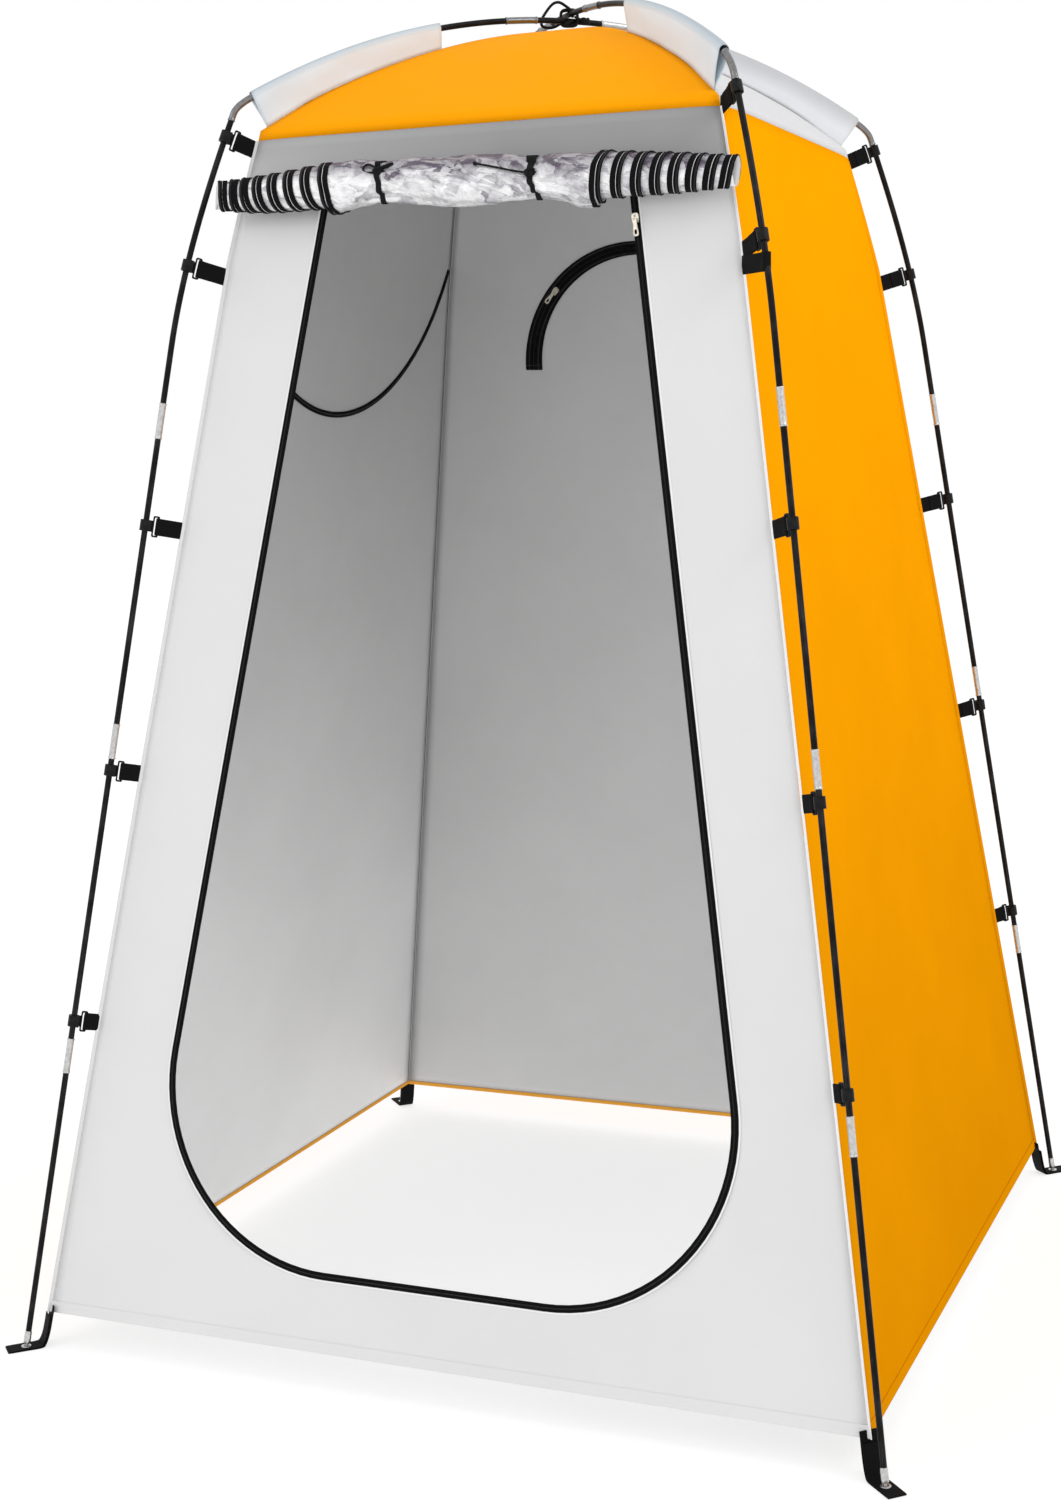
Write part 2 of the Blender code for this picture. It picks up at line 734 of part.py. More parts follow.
def build_roll_ties():
    inner = ROLL_RADIUS + 2 * GAP
    for side, x in TIE_PLACES.items():
        half = TIE_WIDTH / 2
        outer = inner + TIE_THICK
        section = ((-half, inner), (half, inner), (half, outer), (-half, outer))
        rings = []
        for spoke in list(arc((0, 0), 1, 0, 360, 28))[:-1]:
            rings.append([(x + dx, spoke.x * radius, spoke.y * radius) for dx, radius in section])
        name = f"roll_tie_{side}"
        mesh = ring_stack_mesh(name, rings, closed=True)
        add_object(name, mesh, "black_webbing", roll_matrix())


def build_apex_tie():
    """Cord band that ties the crossing of the poles to the top of the roof."""
    low = ARCH_TOP["lower"] - POLE_RADIUS
    high = ARCH_TOP["upper"] + POLE_RADIUS
    middle = (low + high) / 2
    rings = []
    for thick in (APEX_TIE_ROOM, APEX_TIE_ROOM + APEX_TIE_THICK):
        half_x = POLE_RADIUS * math.sqrt(2) + APEX_TIE_SIDE + thick
        half_z = (high - low) / 2 + thick
        ring = []
        for spoke in list(arc((0, 0), 1, 0, 360, 24))[:-1]:
            bulge = (abs(spoke.x) ** 5 + abs(spoke.y) ** 5) ** (-1 / 5)
            ring.append((spoke.x * bulge * half_x, middle + spoke.y * bulge * half_z))
        rings.append(ring)
    name = "apex_tie"
    mesh = plate_mesh(name, rings[1], -APEX_TIE_WIDTH / 2, APEX_TIE_WIDTH / 2, [rings[0]])
    add_object(name, mesh, "black_webbing", Matrix.Rotation(math.radians(90), 4, "X"))


def main():
    clear_scene()
    build_walls()
    build_roof()
    hook = hook_mesh()
    levels = {"front_left": "lower", "rear_right": "lower", "front_right": "upper", "rear_left": "upper"}
    for corner, level in levels.items():
        top = ARCH_TOP[level]
        profile = pole_profile(top)
        build_leg(corner, top)
        build_sleeve(corner, profile)
        build_seam_tape(corner, profile)
        build_hooks(corner, profile, hook)
        build_foot(corner)
    build_arch("lower", "rear_right")
    build_arch("upper", "rear_left")
    build_rolled_door()
    build_roll_ties()
    build_apex_tie()
    build_zip_tapes()
    build_sliders()


main()
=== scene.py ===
"""Looks of the privacy shower tent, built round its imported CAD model.

Metres, +Z up, in the frame of the CAD model: the origin is on the ground under the middle of
the tent and the door faces -Y. The cloth, webbing, zips, hooks, poles and cords are modelled
here as mesh pieces. Each one rides on a CAD body and stands for the plain CAD solid there.
"""

import json
import math

import bmesh
import bpy
from mathutils import Matrix, Vector, noise
from mathutils.geometry import interpolate_bezier


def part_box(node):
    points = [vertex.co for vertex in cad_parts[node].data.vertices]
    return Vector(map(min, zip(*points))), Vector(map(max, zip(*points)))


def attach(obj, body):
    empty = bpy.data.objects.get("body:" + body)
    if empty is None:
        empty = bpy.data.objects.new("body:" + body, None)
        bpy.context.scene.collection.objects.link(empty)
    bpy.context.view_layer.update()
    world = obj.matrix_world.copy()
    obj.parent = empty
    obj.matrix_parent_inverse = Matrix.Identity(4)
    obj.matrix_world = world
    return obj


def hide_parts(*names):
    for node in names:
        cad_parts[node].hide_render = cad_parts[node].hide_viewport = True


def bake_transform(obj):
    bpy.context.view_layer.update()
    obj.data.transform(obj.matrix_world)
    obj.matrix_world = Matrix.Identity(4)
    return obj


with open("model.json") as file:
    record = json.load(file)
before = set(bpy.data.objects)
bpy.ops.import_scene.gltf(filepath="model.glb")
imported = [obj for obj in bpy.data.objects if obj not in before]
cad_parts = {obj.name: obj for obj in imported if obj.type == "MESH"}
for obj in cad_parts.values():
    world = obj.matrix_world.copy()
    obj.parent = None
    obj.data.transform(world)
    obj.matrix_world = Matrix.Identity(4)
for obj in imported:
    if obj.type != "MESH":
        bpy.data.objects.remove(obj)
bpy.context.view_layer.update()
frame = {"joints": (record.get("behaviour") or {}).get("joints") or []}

# ---------------------------------------------------------------- driving dimensions

# Cabin and roof, the same shapes as in the CAD model
HEM_HALF = 0.600
HEM_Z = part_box("wall_front")[0].z
EAVE_HALF = 0.346
EAVE_Z = 1.698
HIP_APEX_Z = 1.870
HIP_DROP = 0.158
HIP_REACH = 0.485
HIP_POWER = 1.75
ROOF_VENT = 0.010
# The cloth stands in from the straight corner seam by this much at the eave, and less below it
CORNER_PULL = {"front_left": 0.011, "front_right": 0.014, "rear_right": 0.019, "rear_left": 0.012}
PULL_START = 1.530
PULL_FADE = 0.120
PULL_SHARE = 10
SHEET_THICK = 0.0016
ROOF_THICK = 0.0014

# Poles, in the vertical plane of a diagonal: (distance from the axis, height)
POLE_RADIUS = 0.00425
FERRULE_RADIUS = 0.0052
FERRULE_LENGTH = 0.050
SECTION = 0.4534
FOOT_REACH = 0.8850
TIP_Z = 0.0015
TIP_RADIUS = 0.0026
TIP_LENGTH = 0.024
BEND_START = Vector((0.6138, 1.415))
ELBOW_START = Vector((0.5125, 1.734))
ELBOW_LEAN = 22.0
ARCH_REACH = 0.474
ARCH_SPAN = 0.457  # the arch has dropped by ARCH_DROP at this reach
ARCH_DROP = 0.112
ARCH_POWER = 2.1
ARCH_TOP = {"lower": 1.8845, "upper": 1.8938}
BEND_HANDLE = 0.110
ELBOW_HANDLE = 0.011
ARCH_HANDLE = 0.022

# Pole sleeves
SLEEVE_INNER = 0.204
SLEEVE_OUTER = 0.486
SLEEVE_CLOTH = 0.0008
SLEEVE_RADIUS = 0.0078

# Hooks and straps
HOOK_COUNT = 5
HOOK_INNER = 0.0050
HOOK_OUTER = 0.0078
HOOK_CLIP_HEIGHT = 0.016
HOOK_PLATE_HEIGHT = 0.030
HOOK_PLATE_REACH = 0.019
HOOK_PLATE_THICK = 0.0026
HOOK_STEM_REACH = 0.0098
SLOT_NEAR = 0.0119
SLOT_FAR = 0.0163
WEBBING_WIDTH = 0.024
WEBBING_THICK = 0.0011
SEAM_FIN = 0.0045

# Door opening; heights are measured up the slope of the front wall
DOOR_TOP = 1.585
DOOR_TOP_HALF = 0.222
DOOR_FLARE = 0.1568
DOOR_BOTTOM = 0.105
DOOR_CORNER = 0.250

# Zips: the windows' zips are on the inner faces
ZIP_TAPE = 0.0011
ZIP_FACE = 0.0019
DOOR_ZIP_WIDTH = 0.010
BACK_WINDOW = {"centre": (0.030, 1.361), "radius": 0.194, "arc": (0, 180), "width": 0.030}
LEFT_WINDOW = {"centre": (0.000, 1.670), "radius": 0.382, "arc": (-159, -21), "width": 0.009}

# Rolled-up door
ROLL_Z = 1.616
ROLL_TILT = 2.0
ROLL_RADIUS = 0.030
ROLL_CORE = 0.0165
ROLL_CLEARANCE = 0.0042
ROLL_DROOP = 0.014
ROLL_END_FLAT = 0.86
FLAP_BUNCHED_HALF = 0.190
TIE_PLACES = {"left": -0.117, "right": 0.103}
TIE_WIDTH = 0.0080
TIE_SPREAD = 0.0090
TIE_CORD = 0.0028
APEX_CORD = 0.0042
APEX_TURN = -22.4

# Feet
FOOT_WIDTH = 0.026
FOOT_END = 0.912

CORNERS = {
    "front_left": (-1, -1),
    "front_right": (1, -1),
    "rear_right": (1, 1),
    "rear_left": (-1, 1),
}
POLE_LEVEL = {
    "front_left": "lower",
    "rear_right": "lower",
    "front_right": "upper",
    "rear_left": "upper",
}
SIDES = {"front": 0, "right": 90, "back": 180, "left": 270}
WALL_CORNERS = {
    "front": ("front_left", "front_right"),
    "right": ("front_right", "rear_right"),
    "back": ("rear_right", "rear_left"),
    "left": ("rear_left", "front_left"),
}

# Looks of the cloth
ORANGE = (0.97, 0.362, 0.0010)
WEAVE_PITCH = 0.0009
WEAVE_DEPTH = 0.00004

# Camera at the photograph's viewing angle
CAMERA_PLACE = Vector((1.2163, -3.1552, 1.2827))
CAMERA_YAW = -22.386
CAMERA_PITCH = 8.045
CAMERA_ROLL = -1.082
CAMERA_LENS = 53.318
CAMERA_SENSOR = 36.0


# ---------------------------------------------------------------- materials


class Paint:
    """A node material under construction. Inputs are numbers, colours or sockets."""

    def __init__(self, name, colour=(0.8, 0.8, 0.8), roughness=0.5, metallic=0.0, **extra):
        self.material = bpy.data.materials.new(name)
        self.material.use_nodes = True
        self.tree = self.material.node_tree
        self.shader = self.tree.nodes["Principled BSDF"]
        self.colour(colour)
        self.roughness(roughness)
        self.set(self.shader, "Metallic", metallic)
        for label, value in extra.items():
            self.set(self.shader, label.replace("_", " "), value)
        self.material.diffuse_color = (*colour[:3], 1)

    def set(self, node, label, value):
        socket = node.inputs[label]
        if isinstance(value, bpy.types.NodeSocket):
            self.tree.links.new(value, socket)
        elif socket.type == "RGBA":
            socket.default_value = (*value[:3], 1)
        else:
            socket.default_value = value

    def node(self, kind, inputs=None, **settings):
        node = self.tree.nodes.new(kind)
        for label, value in settings.items():
            setattr(node, label, value)
        for label, value in (inputs or {}).items():
            self.set(node, label, value)
        return node

    def math(self, operation, a, b=0.0):
        return self.node("ShaderNodeMath", {0: a, 1: b}, operation=operation).outputs[0]

    def times(self, a, b):
        return self.math("MULTIPLY", a, b)

    def plus(self, a, b):
        return self.math("ADD", a, b)

    def minus(self, a, b):
        return self.math("SUBTRACT", a, b)

    def colour(self, value):
        self.set(self.shader, "Base Color", value)

    def roughness(self, value):
        self.set(self.shader, "Roughness", value)

    def normal(self, value):
        self.set(self.shader, "Normal", value)

    def lay(self):
        """(across, along) of the piece in metres, from its own attribute."""
        node = self.node("ShaderNodeAttribute", attribute_name="lay")
        split = self.node("ShaderNodeSeparateXYZ", {0: node.outputs["Vector"]})
        return split.outputs[0], split.outputs[1]

    def place(self):
        return self.node("ShaderNodeTexCoord").outputs["Object"]

    def noise(self, vector, scale, detail=3.0, roughness=0.55, distortion=0.0):
        inputs = {
            "Vector": vector,
            "Scale": scale,
            "Detail": detail,
            "Roughness": roughness,
            "Distortion": distortion,
        }
        return self.node("ShaderNodeTexNoise", inputs).outputs["Fac"]

    def remap(self, value, low, high, to_low, to_high):
        inputs = {0: value, 1: low, 2: high, 3: to_low, 4: to_high}
        return self.node("ShaderNodeMapRange", inputs).outputs[0]

    def grain(self, vector, scale, detail, low, high):
        """Noise whose usual range is stretched to run from low to high."""
        return self.remap(self.noise(vector, scale, detail), 0.3, 0.7, low, high)

    def mix(self, factor, a, b):
        node = self.node("ShaderNodeMix", data_type="RGBA")
        self.set(node, "Factor", factor)
        self.set_indexed(node, 6, a)
        self.set_indexed(node, 7, b)
        return node.outputs[2]

    def set_indexed(self, node, index, value):
        if isinstance(value, bpy.types.NodeSocket):
            self.tree.links.new(value, node.inputs[index])
        else:
            node.inputs[index].default_value = (*value[:3], 1)

    def bump(self, height, distance, strength=1.0, normal=None):
        inputs = {"Height": height, "Distance": distance, "Strength": strength}
        if normal is not None:
            inputs["Normal"] = normal
        return self.node("ShaderNodeBump", inputs).outputs["Normal"]

    def wave(self, value, pitch):
        """A sine of the value with a period of one pitch."""
        return self.math("SINE", self.times(value, 2 * math.pi / pitch))


def shade(colour, factor):
    return tuple(channel * factor for channel in colour)


def cloth_paint(name, colour):
    """Thin coated polyester: a fine plain weave with rip threads, faint creases and mottling."""
    paint = Paint(name, colour, 0.70, Specular_IOR_Level=0.04)
    across, along = paint.lay()
    place = paint.place()
    threads = paint.times(paint.wave(across, WEAVE_PITCH), paint.wave(along, WEAVE_PITCH))
    mottle = paint.noise(place, 3.2, 4.0)
    speckle = paint.noise(place, 900.0, 1.0)
    tone = paint.plus(paint.times(mottle, 0.7), paint.times(speckle, 0.3))
    tone = paint.remap(tone, 0.3, 0.7, 0.0, 1.0)
    colours = paint.mix(tone, shade(colour, 0.965), shade(colour, 1.025))
    paint.colour(colours)
    rough = paint.grain(place, 14.0, 3.0, 0.65, 0.76)
    paint.roughness(rough)
    soft = paint.bump(paint.noise(place, 7.0, 3.0, 0.5, 0.4), 0.0010, 0.35)
    paint.normal(paint.bump(threads, WEAVE_DEPTH, 0.6, soft))
    return paint


def orange_paint():
    """Orange wall cloth, with painted shade that darkens it a little towards the ground."""
    paint = cloth_paint("orange_cloth_weave", ORANGE)
    paint.set(paint.shader, "Specular IOR Level", 0.0)
    along = paint.lay()[1]
    # painted shade: the cloth is coloured darker down the wall towards the hem
    rise = paint.remap(along, 0.0, 1.6, 0.0, 1.0)
    mottle = paint.grain(paint.place(), 3.2, 4.0, -0.12, 0.12)
    tone = paint.plus(rise, mottle)
    paint.colour(paint.mix(tone, shade(ORANGE, 0.70), shade(ORANGE, 0.97)))
    return paint


def sleeve_paint(name, colour, fade):
    """Cloth of the pole sleeves, with painted shade along the crown as far out as the fade distance."""
    paint = cloth_paint(name, colour)
    across = paint.lay()[0]
    # painted shade along the crown of the sleeve, as wide as the fade distance
    crown = paint.remap(paint.math("ABSOLUTE", across), 0.003, fade, 0.0, 1.0)
    mottle = paint.grain(paint.place(), 6.0, 3.0, -0.08, 0.08)
    tone = paint.plus(crown, mottle)
    paint.colour(paint.mix(tone, shade(colour, 0.60), colour))
    return paint


def header_shade_paint():
    """Grey cloth under the eave, in painted shade of the eave, lightest at its lower left."""
    paint = cloth_paint("header_painted_shade", (0.50, 0.50, 0.51))
    across, along = paint.lay()
    down = paint.remap(along, wall_slope_height(), DOOR_TOP, 0.0, 1.0)
    left = paint.remap(across, 0.04, -EAVE_HALF, 0.0, 1.0)
    lower_left = paint.times(left, paint.remap(down, 0.0, 1.0, 0.15, 0.60))
    fade = paint.plus(paint.times(down, 0.12), lower_left)
    # painted shade: dark grey under the eave to light grey at the lower left
    colours = paint.mix(fade, (0.330, 0.330, 0.334), (0.80, 0.80, 0.81))
    paint.colour(colours)
    return paint


def lining_paint(name="silver_lining", low=0.66):
    """Silver coating inside the walls: soft metallic grey, with painted light that makes it lighter at the
    foot of a wall.
    """
    high = 0.64
    paint = Paint(name, (high, high, high), 0.5, 0.25)
    place = paint.place()
    across, along = paint.lay()
    # painted light: the tone runs from the low value at the foot of the wall to the high one above it
    rise = paint.remap(along, 0.45, 1.30, low, high)
    mottle = paint.grain(place, 2.2, 4.0, 0.95, 1.05)
    tone = paint.times(rise, mottle)
    grey = paint.node("ShaderNodeCombineColor", {0: tone, 1: tone, 2: tone})
    paint.colour(grey.outputs[0])
    paint.roughness(paint.remap(paint.noise(place, 30.0), 0.3, 0.7, 0.42, 0.58))
    threads = paint.times(paint.wave(across, WEAVE_PITCH), paint.wave(along, WEAVE_PITCH))
    soft = paint.bump(paint.noise(place, 9.0, 4.0, 0.55, 0.6), 0.0012, 0.4)
    paint.normal(paint.bump(threads, WEAVE_DEPTH, 0.6, soft))
    return paint


def foil_paint():
    """Crinkled silver coating of the rolled door, with painted light and shade: bright facets, lilac
    painted shade in the creases between them, painted shadow over the top of the roll.
    """
    paint = Paint("silver_crinkle", (0.70, 0.69, 0.72), 0.3, 0.30, Specular_IOR_Level=0.3)
    place = paint.place()
    across, up, out = paint.node("ShaderNodeSeparateXYZ", {0: place}).outputs
    slant = paint.plus(paint.times(across, 11.0), paint.times(up, 12.0))
    lean = paint.node(
        "ShaderNodeCombineXYZ",
        {0: slant, 1: paint.times(up, 24.0), 2: paint.times(out, 16.0)},
    )
    streaks = paint.noise(lean.outputs[0], 1.0, 3.0, 0.6, 0.6)
    crinkle = paint.noise(place, 60.0, 4.0, 0.6, 0.8)
    bent = paint.node("ShaderNodeVectorMath", {0: lean.outputs[0], 1: streaks}, operation="ADD")
    # painted light and shade: each facet gets its own brightness, as if it faced the light at its own angle
    facets = []
    for scale in (2.3, 5.5):
        cells = paint.node("ShaderNodeTexVoronoi", {"Vector": bent.outputs[0], "Scale": scale}).outputs
        chance = paint.node("ShaderNodeSeparateColor", {0: cells["Color"]}).outputs[0]
        facets.append(paint.plus(paint.times(chance, 0.75), paint.times(cells["Distance"], 0.4)))
    folds = paint.plus(paint.times(facets[0], 0.5), paint.times(facets[1], 0.5))
    # painted shade in the creases between the facets
    crease = paint.remap(folds, 0.46, 0.92, 0.0, 0.62)
    # painted shadow over the top of the roll
    shadow = paint.remap(up, -0.008, 0.014, 0.0, 0.60)
    tone = paint.minus(1.0, paint.plus(crease, shadow))
    # painted shade in the fine crinkles
    tone = paint.minus(tone, paint.remap(crinkle, 0.40, 0.70, 0.0, 0.26))
    paint.colour(paint.mix(tone, (0.11, 0.09, 0.125), (0.95, 0.95, 0.96)))
    paint.roughness(paint.remap(crinkle, 0.3, 0.7, 0.22, 0.40))
    broad = paint.bump(folds, 0.0030, 0.7)
    fine = paint.bump(paint.noise(place, 150.0, 3.0, 0.6, 0.8), 0.0006, 0.5, broad)
    paint.normal(paint.bump(crinkle, 0.0030, 0.8, fine))
    return paint


def webbing_paint(name="webbing", colour=(0.006, 0.006, 0.0065)):
    """Woven polypropylene webbing: ribs across, with a herringbone of threads."""
    paint = Paint(name, colour, 0.62, Specular_IOR_Level=0.05)
    across, along = paint.lay()
    ribs = paint.wave(along, 0.0016)
    lean = paint.plus(paint.times(paint.math("ABSOLUTE", across), 0.9), along)
    twill = paint.wave(lean, 0.0023)
    height = paint.plus(paint.times(ribs, 0.6), paint.times(twill, 0.6))
    fuzz = paint.noise(paint.place(), 700.0, 2.0)
    # painted shade: the grooves between ribs and twill are coloured darker than their crests; the fuzz adds
    # random tone
    tone = paint.plus(paint.remap(height, -1.2, 1.2, 0.0, 0.7), paint.times(fuzz, 0.3))
    paint.colour(paint.mix(tone, shade(colour, 0.4), shade(colour, 1.8)))
    paint.roughness(paint.remap(fuzz, 0.3, 0.7, 0.55, 0.75))
    paint.normal(paint.bump(height, 0.00025, 0.8))
    return paint


def plastic_paint():
    """Moulded black acetal with a fine spark-eroded texture and slight rub marks."""
    paint = Paint("moulded_plastic", (0.008, 0.008, 0.0085), 0.42, Specular_IOR_Level=0.14)
    place = paint.place()
    rub = paint.remap(paint.noise(place, 160.0, 3.0), 0.45, 0.75, 0.0, 1.0)
    paint.colour(paint.mix(rub, (0.005, 0.005, 0.0055), (0.014, 0.014, 0.0145)))
    paint.roughness(paint.remap(rub, 0.0, 1.0, 0.36, 0.55))
    paint.normal(paint.bump(paint.noise(place, 2600.0, 2.0), 0.00008, 0.6))
    return paint


def fibreglass_paint():
    """Glossy black fibreglass rod with long glass fibres showing through the resin."""
    paint = Paint("fibreglass_rod", (0.008, 0.008, 0.0085), 0.28, Specular_IOR_Level=0.11)
    across, along = paint.lay()
    stretched = paint.node("ShaderNodeCombineXYZ", {0: paint.times(across, 900.0)})
    paint.set(stretched, 1, paint.times(along, 12.0))
    fibres = paint.noise(stretched.outputs[0], 1.0, 3.0)
    wear = paint.noise(paint.place(), 26.0, 4.0)
    tone = paint.remap(paint.times(fibres, wear), 0.22, 0.42, 0.0, 1.0)
    paint.colour(paint.mix(tone, (0.004, 0.004, 0.0045), (0.030, 0.030, 0.031)))
    paint.roughness(paint.remap(fibres, 0.3, 0.7, 0.22, 0.40))
    paint.normal(paint.bump(fibres, 0.00008, 0.5))
    return paint


def metal_paint(name, colour, roughness):
    """Turned or cast metal with brush lines round it and a few darker rubs."""
    paint = Paint(name, colour, roughness, 1.0)
    across, along = paint.lay()
    place = paint.place()
    lines = paint.node("ShaderNodeCombineXYZ", {0: paint.times(along, 1400.0)})
    paint.set(lines, 1, paint.times(across, 30.0))
    brushed = paint.noise(lines.outputs[0], 1.0, 3.0)
    rubs = paint.remap(paint.noise(place, 220.0, 3.0), 0.4, 0.7, 0.0, 1.0)
    paint.colour(paint.mix(rubs, colour, shade(colour, 0.72)))
    paint.roughness(paint.remap(brushed, 0.3, 0.7, roughness * 0.8, roughness * 1.3))
    paint.normal(paint.bump(brushed, 0.00005, 0.5))
    return paint


def coil_paint():
    """Nylon coil of a zip: a tooth every 1.6 mm."""
    paint = Paint("zip_coil", (0.008, 0.008, 0.0085), 0.38, Specular_IOR_Level=0.25)
    along = paint.lay()[1]
    teeth = paint.wave(along, 0.0016)
    worn = paint.grain(paint.place(), 300.0, 2.0, 0.0, 1.0)
    # painted shade: the gaps between the teeth are coloured darker than their crests, with random worn
    # spots
    tone = paint.times(paint.remap(teeth, -0.2, 1.0, 0.0, 1.0), worn)
    paint.colour(paint.mix(tone, (0.005, 0.005, 0.0055), (0.040, 0.040, 0.042)))
    paint.roughness(paint.remap(worn, 0.0, 1.0, 0.30, 0.50))
    paint.normal(paint.bump(teeth, 0.0005, 0.9))
    return paint


def cord_paint():
    """Braided black cord: two sets of strands that cross."""
    paint = Paint("braided_cord", (0.008, 0.008, 0.0085), 0.7, Specular_IOR_Level=0.12)
    across, along = paint.lay()
    one = paint.wave(paint.plus(across, along), 0.0018)
    two = paint.wave(paint.minus(across, along), 0.0018)
    braid = paint.times(one, two)
    fuzz = paint.noise(paint.place(), 900.0, 2.0)
    # painted shade: the gaps between the crossing strands are coloured darker than the strands, with random
    # fuzz
    tone = paint.times(paint.remap(braid, -1.0, 1.0, 0.0, 1.0), fuzz)
    paint.colour(paint.mix(tone, (0.005, 0.005, 0.0055), (0.030, 0.030, 0.031)))
    paint.roughness(paint.remap(fuzz, 0.3, 0.7, 0.6, 0.8))
    paint.normal(paint.bump(braid, 0.0004, 0.8))
    return paint


def floor_paint():
    glow = {"Emission_Color": (1, 1, 1), "Emission_Strength": 0.66}
    paint = Paint("studio_floor", (0.40, 0.40, 0.40), 0.9, **glow)
    paint.set(paint.shader, "Specular IOR Level", 0.0)
    grain = paint.grain(paint.place(), 2.0, 4.0, 0.0, 1.0)
    paint.colour(paint.mix(grain, (0.395, 0.395, 0.395), (0.405, 0.405, 0.405)))
    return paint


# ---------------------------------------------------------------- mesh helpers


def mesh_piece(name, bm, materials, matrix=None, sharp=35):
    """Turn a bmesh with a 'lay' layer into an object."""
    mesh = bpy.data.meshes.new(name)
    bm.to_mesh(mesh)
    bm.free()
    mesh.shade_smooth()
    if sharp is not None:
        mesh.set_sharp_from_angle(angle=math.radians(sharp))
    for paint in materials:
        mesh.materials.append(paint.material)
    thing = bpy.data.objects.new(name, mesh)
    bpy.context.scene.collection.objects.link(thing)
    if matrix is not None:
        thing.matrix_world = matrix
    return thing


def settle(piece, node=None, body="root"):
    """Fix a piece to its body, with the CAD node it stands for, if any."""
    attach(piece, body)
    if node:
        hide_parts(node)


def new_bmesh():
    bm = bmesh.new()
    bm.verts.layers.float_vector.new("lay")
    return bm


def vectors(*points):
    return [Vector(point) for point in points]


def turn_out(bm):
    bmesh.ops.recalc_face_normals(bm, faces=bm.faces)


def lay_of(bm):
    return bm.verts.layers.float_vector["lay"]


def add_grid(bm, rows, lays, material=0, wrap=False):
    """Quads over a grid of points; lays holds each point's (across, along)."""
    layer = lay_of(bm)
    grid = []
    for row, lay_row in zip(rows, lays):
        verts = []
        for point, lay in zip(row, lay_row):
            vert = bm.verts.new(point)
            vert[layer] = (*lay, 0)
            verts.append(vert)
        grid.append(verts)
    for near, far in zip(grid, grid[1:]):
        count = len(near)
        for i in range(count if wrap else count - 1):
            j = (i + 1) % count
            bm.faces.new((near[i], near[j], far[j], far[i])).material_index = material
    return grid


def cap_ends(bm, grid, material=0):
    for ring in (grid[0][::-1], grid[-1]):
        bm.faces.new(ring).material_index = material


def smooth_path(points, per_span=8):
    """A Catmull-Rom curve through a few points."""
    points = vectors(*points)
    ends = [2 * points[0] - points[1], *points, 2 * points[-1] - points[-2]]
    path = [points[0].copy()]
    for before, a, b, after in zip(ends, ends[1:], ends[2:], ends[3:]):
        for i in range(1, per_span + 1):
            t = i / per_span
            path.append(
                0.5
                * (
                    2 * a
                    + (b - before) * t
                    + (2 * before - 5 * a + 4 * b - after) * t**2
                    + (3 * a - before - 3 * b + after) * t**3
                )
            )
    return path


def lengths_along(points):
    total = [0.0]
    for a, b in zip(points, points[1:]):
        total.append(total[-1] + (b - a).length)
    return total


def directions(points):
    last = len(points) - 1
    return [(points[min(i + 1, last)] - points[max(i - 1, 0)]).normalized() for i in range(last + 1)]


def add_tube(bm, path, radii, sides=12, material=0, squash=1.0, closed=False):
    """Sweep a round or flattened section along a path, with capped ends."""
    if not hasattr(radii, "__len__"):
        radii = [radii] * len(path)
    tangents = directions(path)
    side = tangents[0].orthogonal()
    rows, lays = [], []
    for point, tangent, radius, distance in zip(path, tangents, radii, lengths_along(path)):
        side = (side - tangent * side.dot(tangent)).normalized()
        other = tangent.cross(side)
        row, lay_row = [], []
        for k in range(sides):
            angle = 2 * math.pi * k / sides
            row.append(point + side * radius * math.cos(angle) + other * radius * squash * math.sin(angle))
            lay_row.append((radius * min(angle, 2 * math.pi - angle), distance))
        rows.append(row)
        lays.append(lay_row)
    grid = add_grid(bm, rows, lays, material, wrap=True)
    if closed:
        for i in range(sides):
            j = (i + 1) % sides
            bm.faces.new((grid[-1][i], grid[-1][j], grid[0][j], grid[0][i])).material_index = material
    else:
        cap_ends(bm, grid, material)
    return grid


def tube_piece(name, path, radii, paint, **settings):
    bm = new_bmesh()
    add_tube(bm, [Vector(point) for point in path], radii, **settings)
    return mesh_piece(name, bm, [paint])


def add_band(bm, path, wide, normals, width, thick, material=0):
    """Sweep a flat rounded strap section along a path; wide and normals are its two directions."""
    widths = width if hasattr(width, "__len__") else [width] * len(path)
    deep = thick / 2
    cut = deep / 2
    rows, lays = [], []
    for point, side, normal, distance, span in zip(path, wide, normals, lengths_along(path), widths):
        half = span / 2
        upper = [(half, deep - cut), (half - cut, deep), (0, deep), (cut - half, deep), (-half, deep - cut)]
        section = [(-a, -b) for a, b in upper] + upper
        rows.append([point + side * a + normal * b for a, b in section])
        lays.append([(a, distance) for a, b in section])
    grid = add_grid(bm, rows, lays, material, wrap=True)
    cap_ends(bm, grid, material)
    return grid


def arc(centre, radius, start, end, steps):
    """Points on an arc, angles in degrees."""
    for i in range(steps + 1):
        angle = math.radians(start + (end - start) * i / steps)
        yield Vector((centre[0] + radius * math.cos(angle), centre[1] + radius * math.sin(angle)))


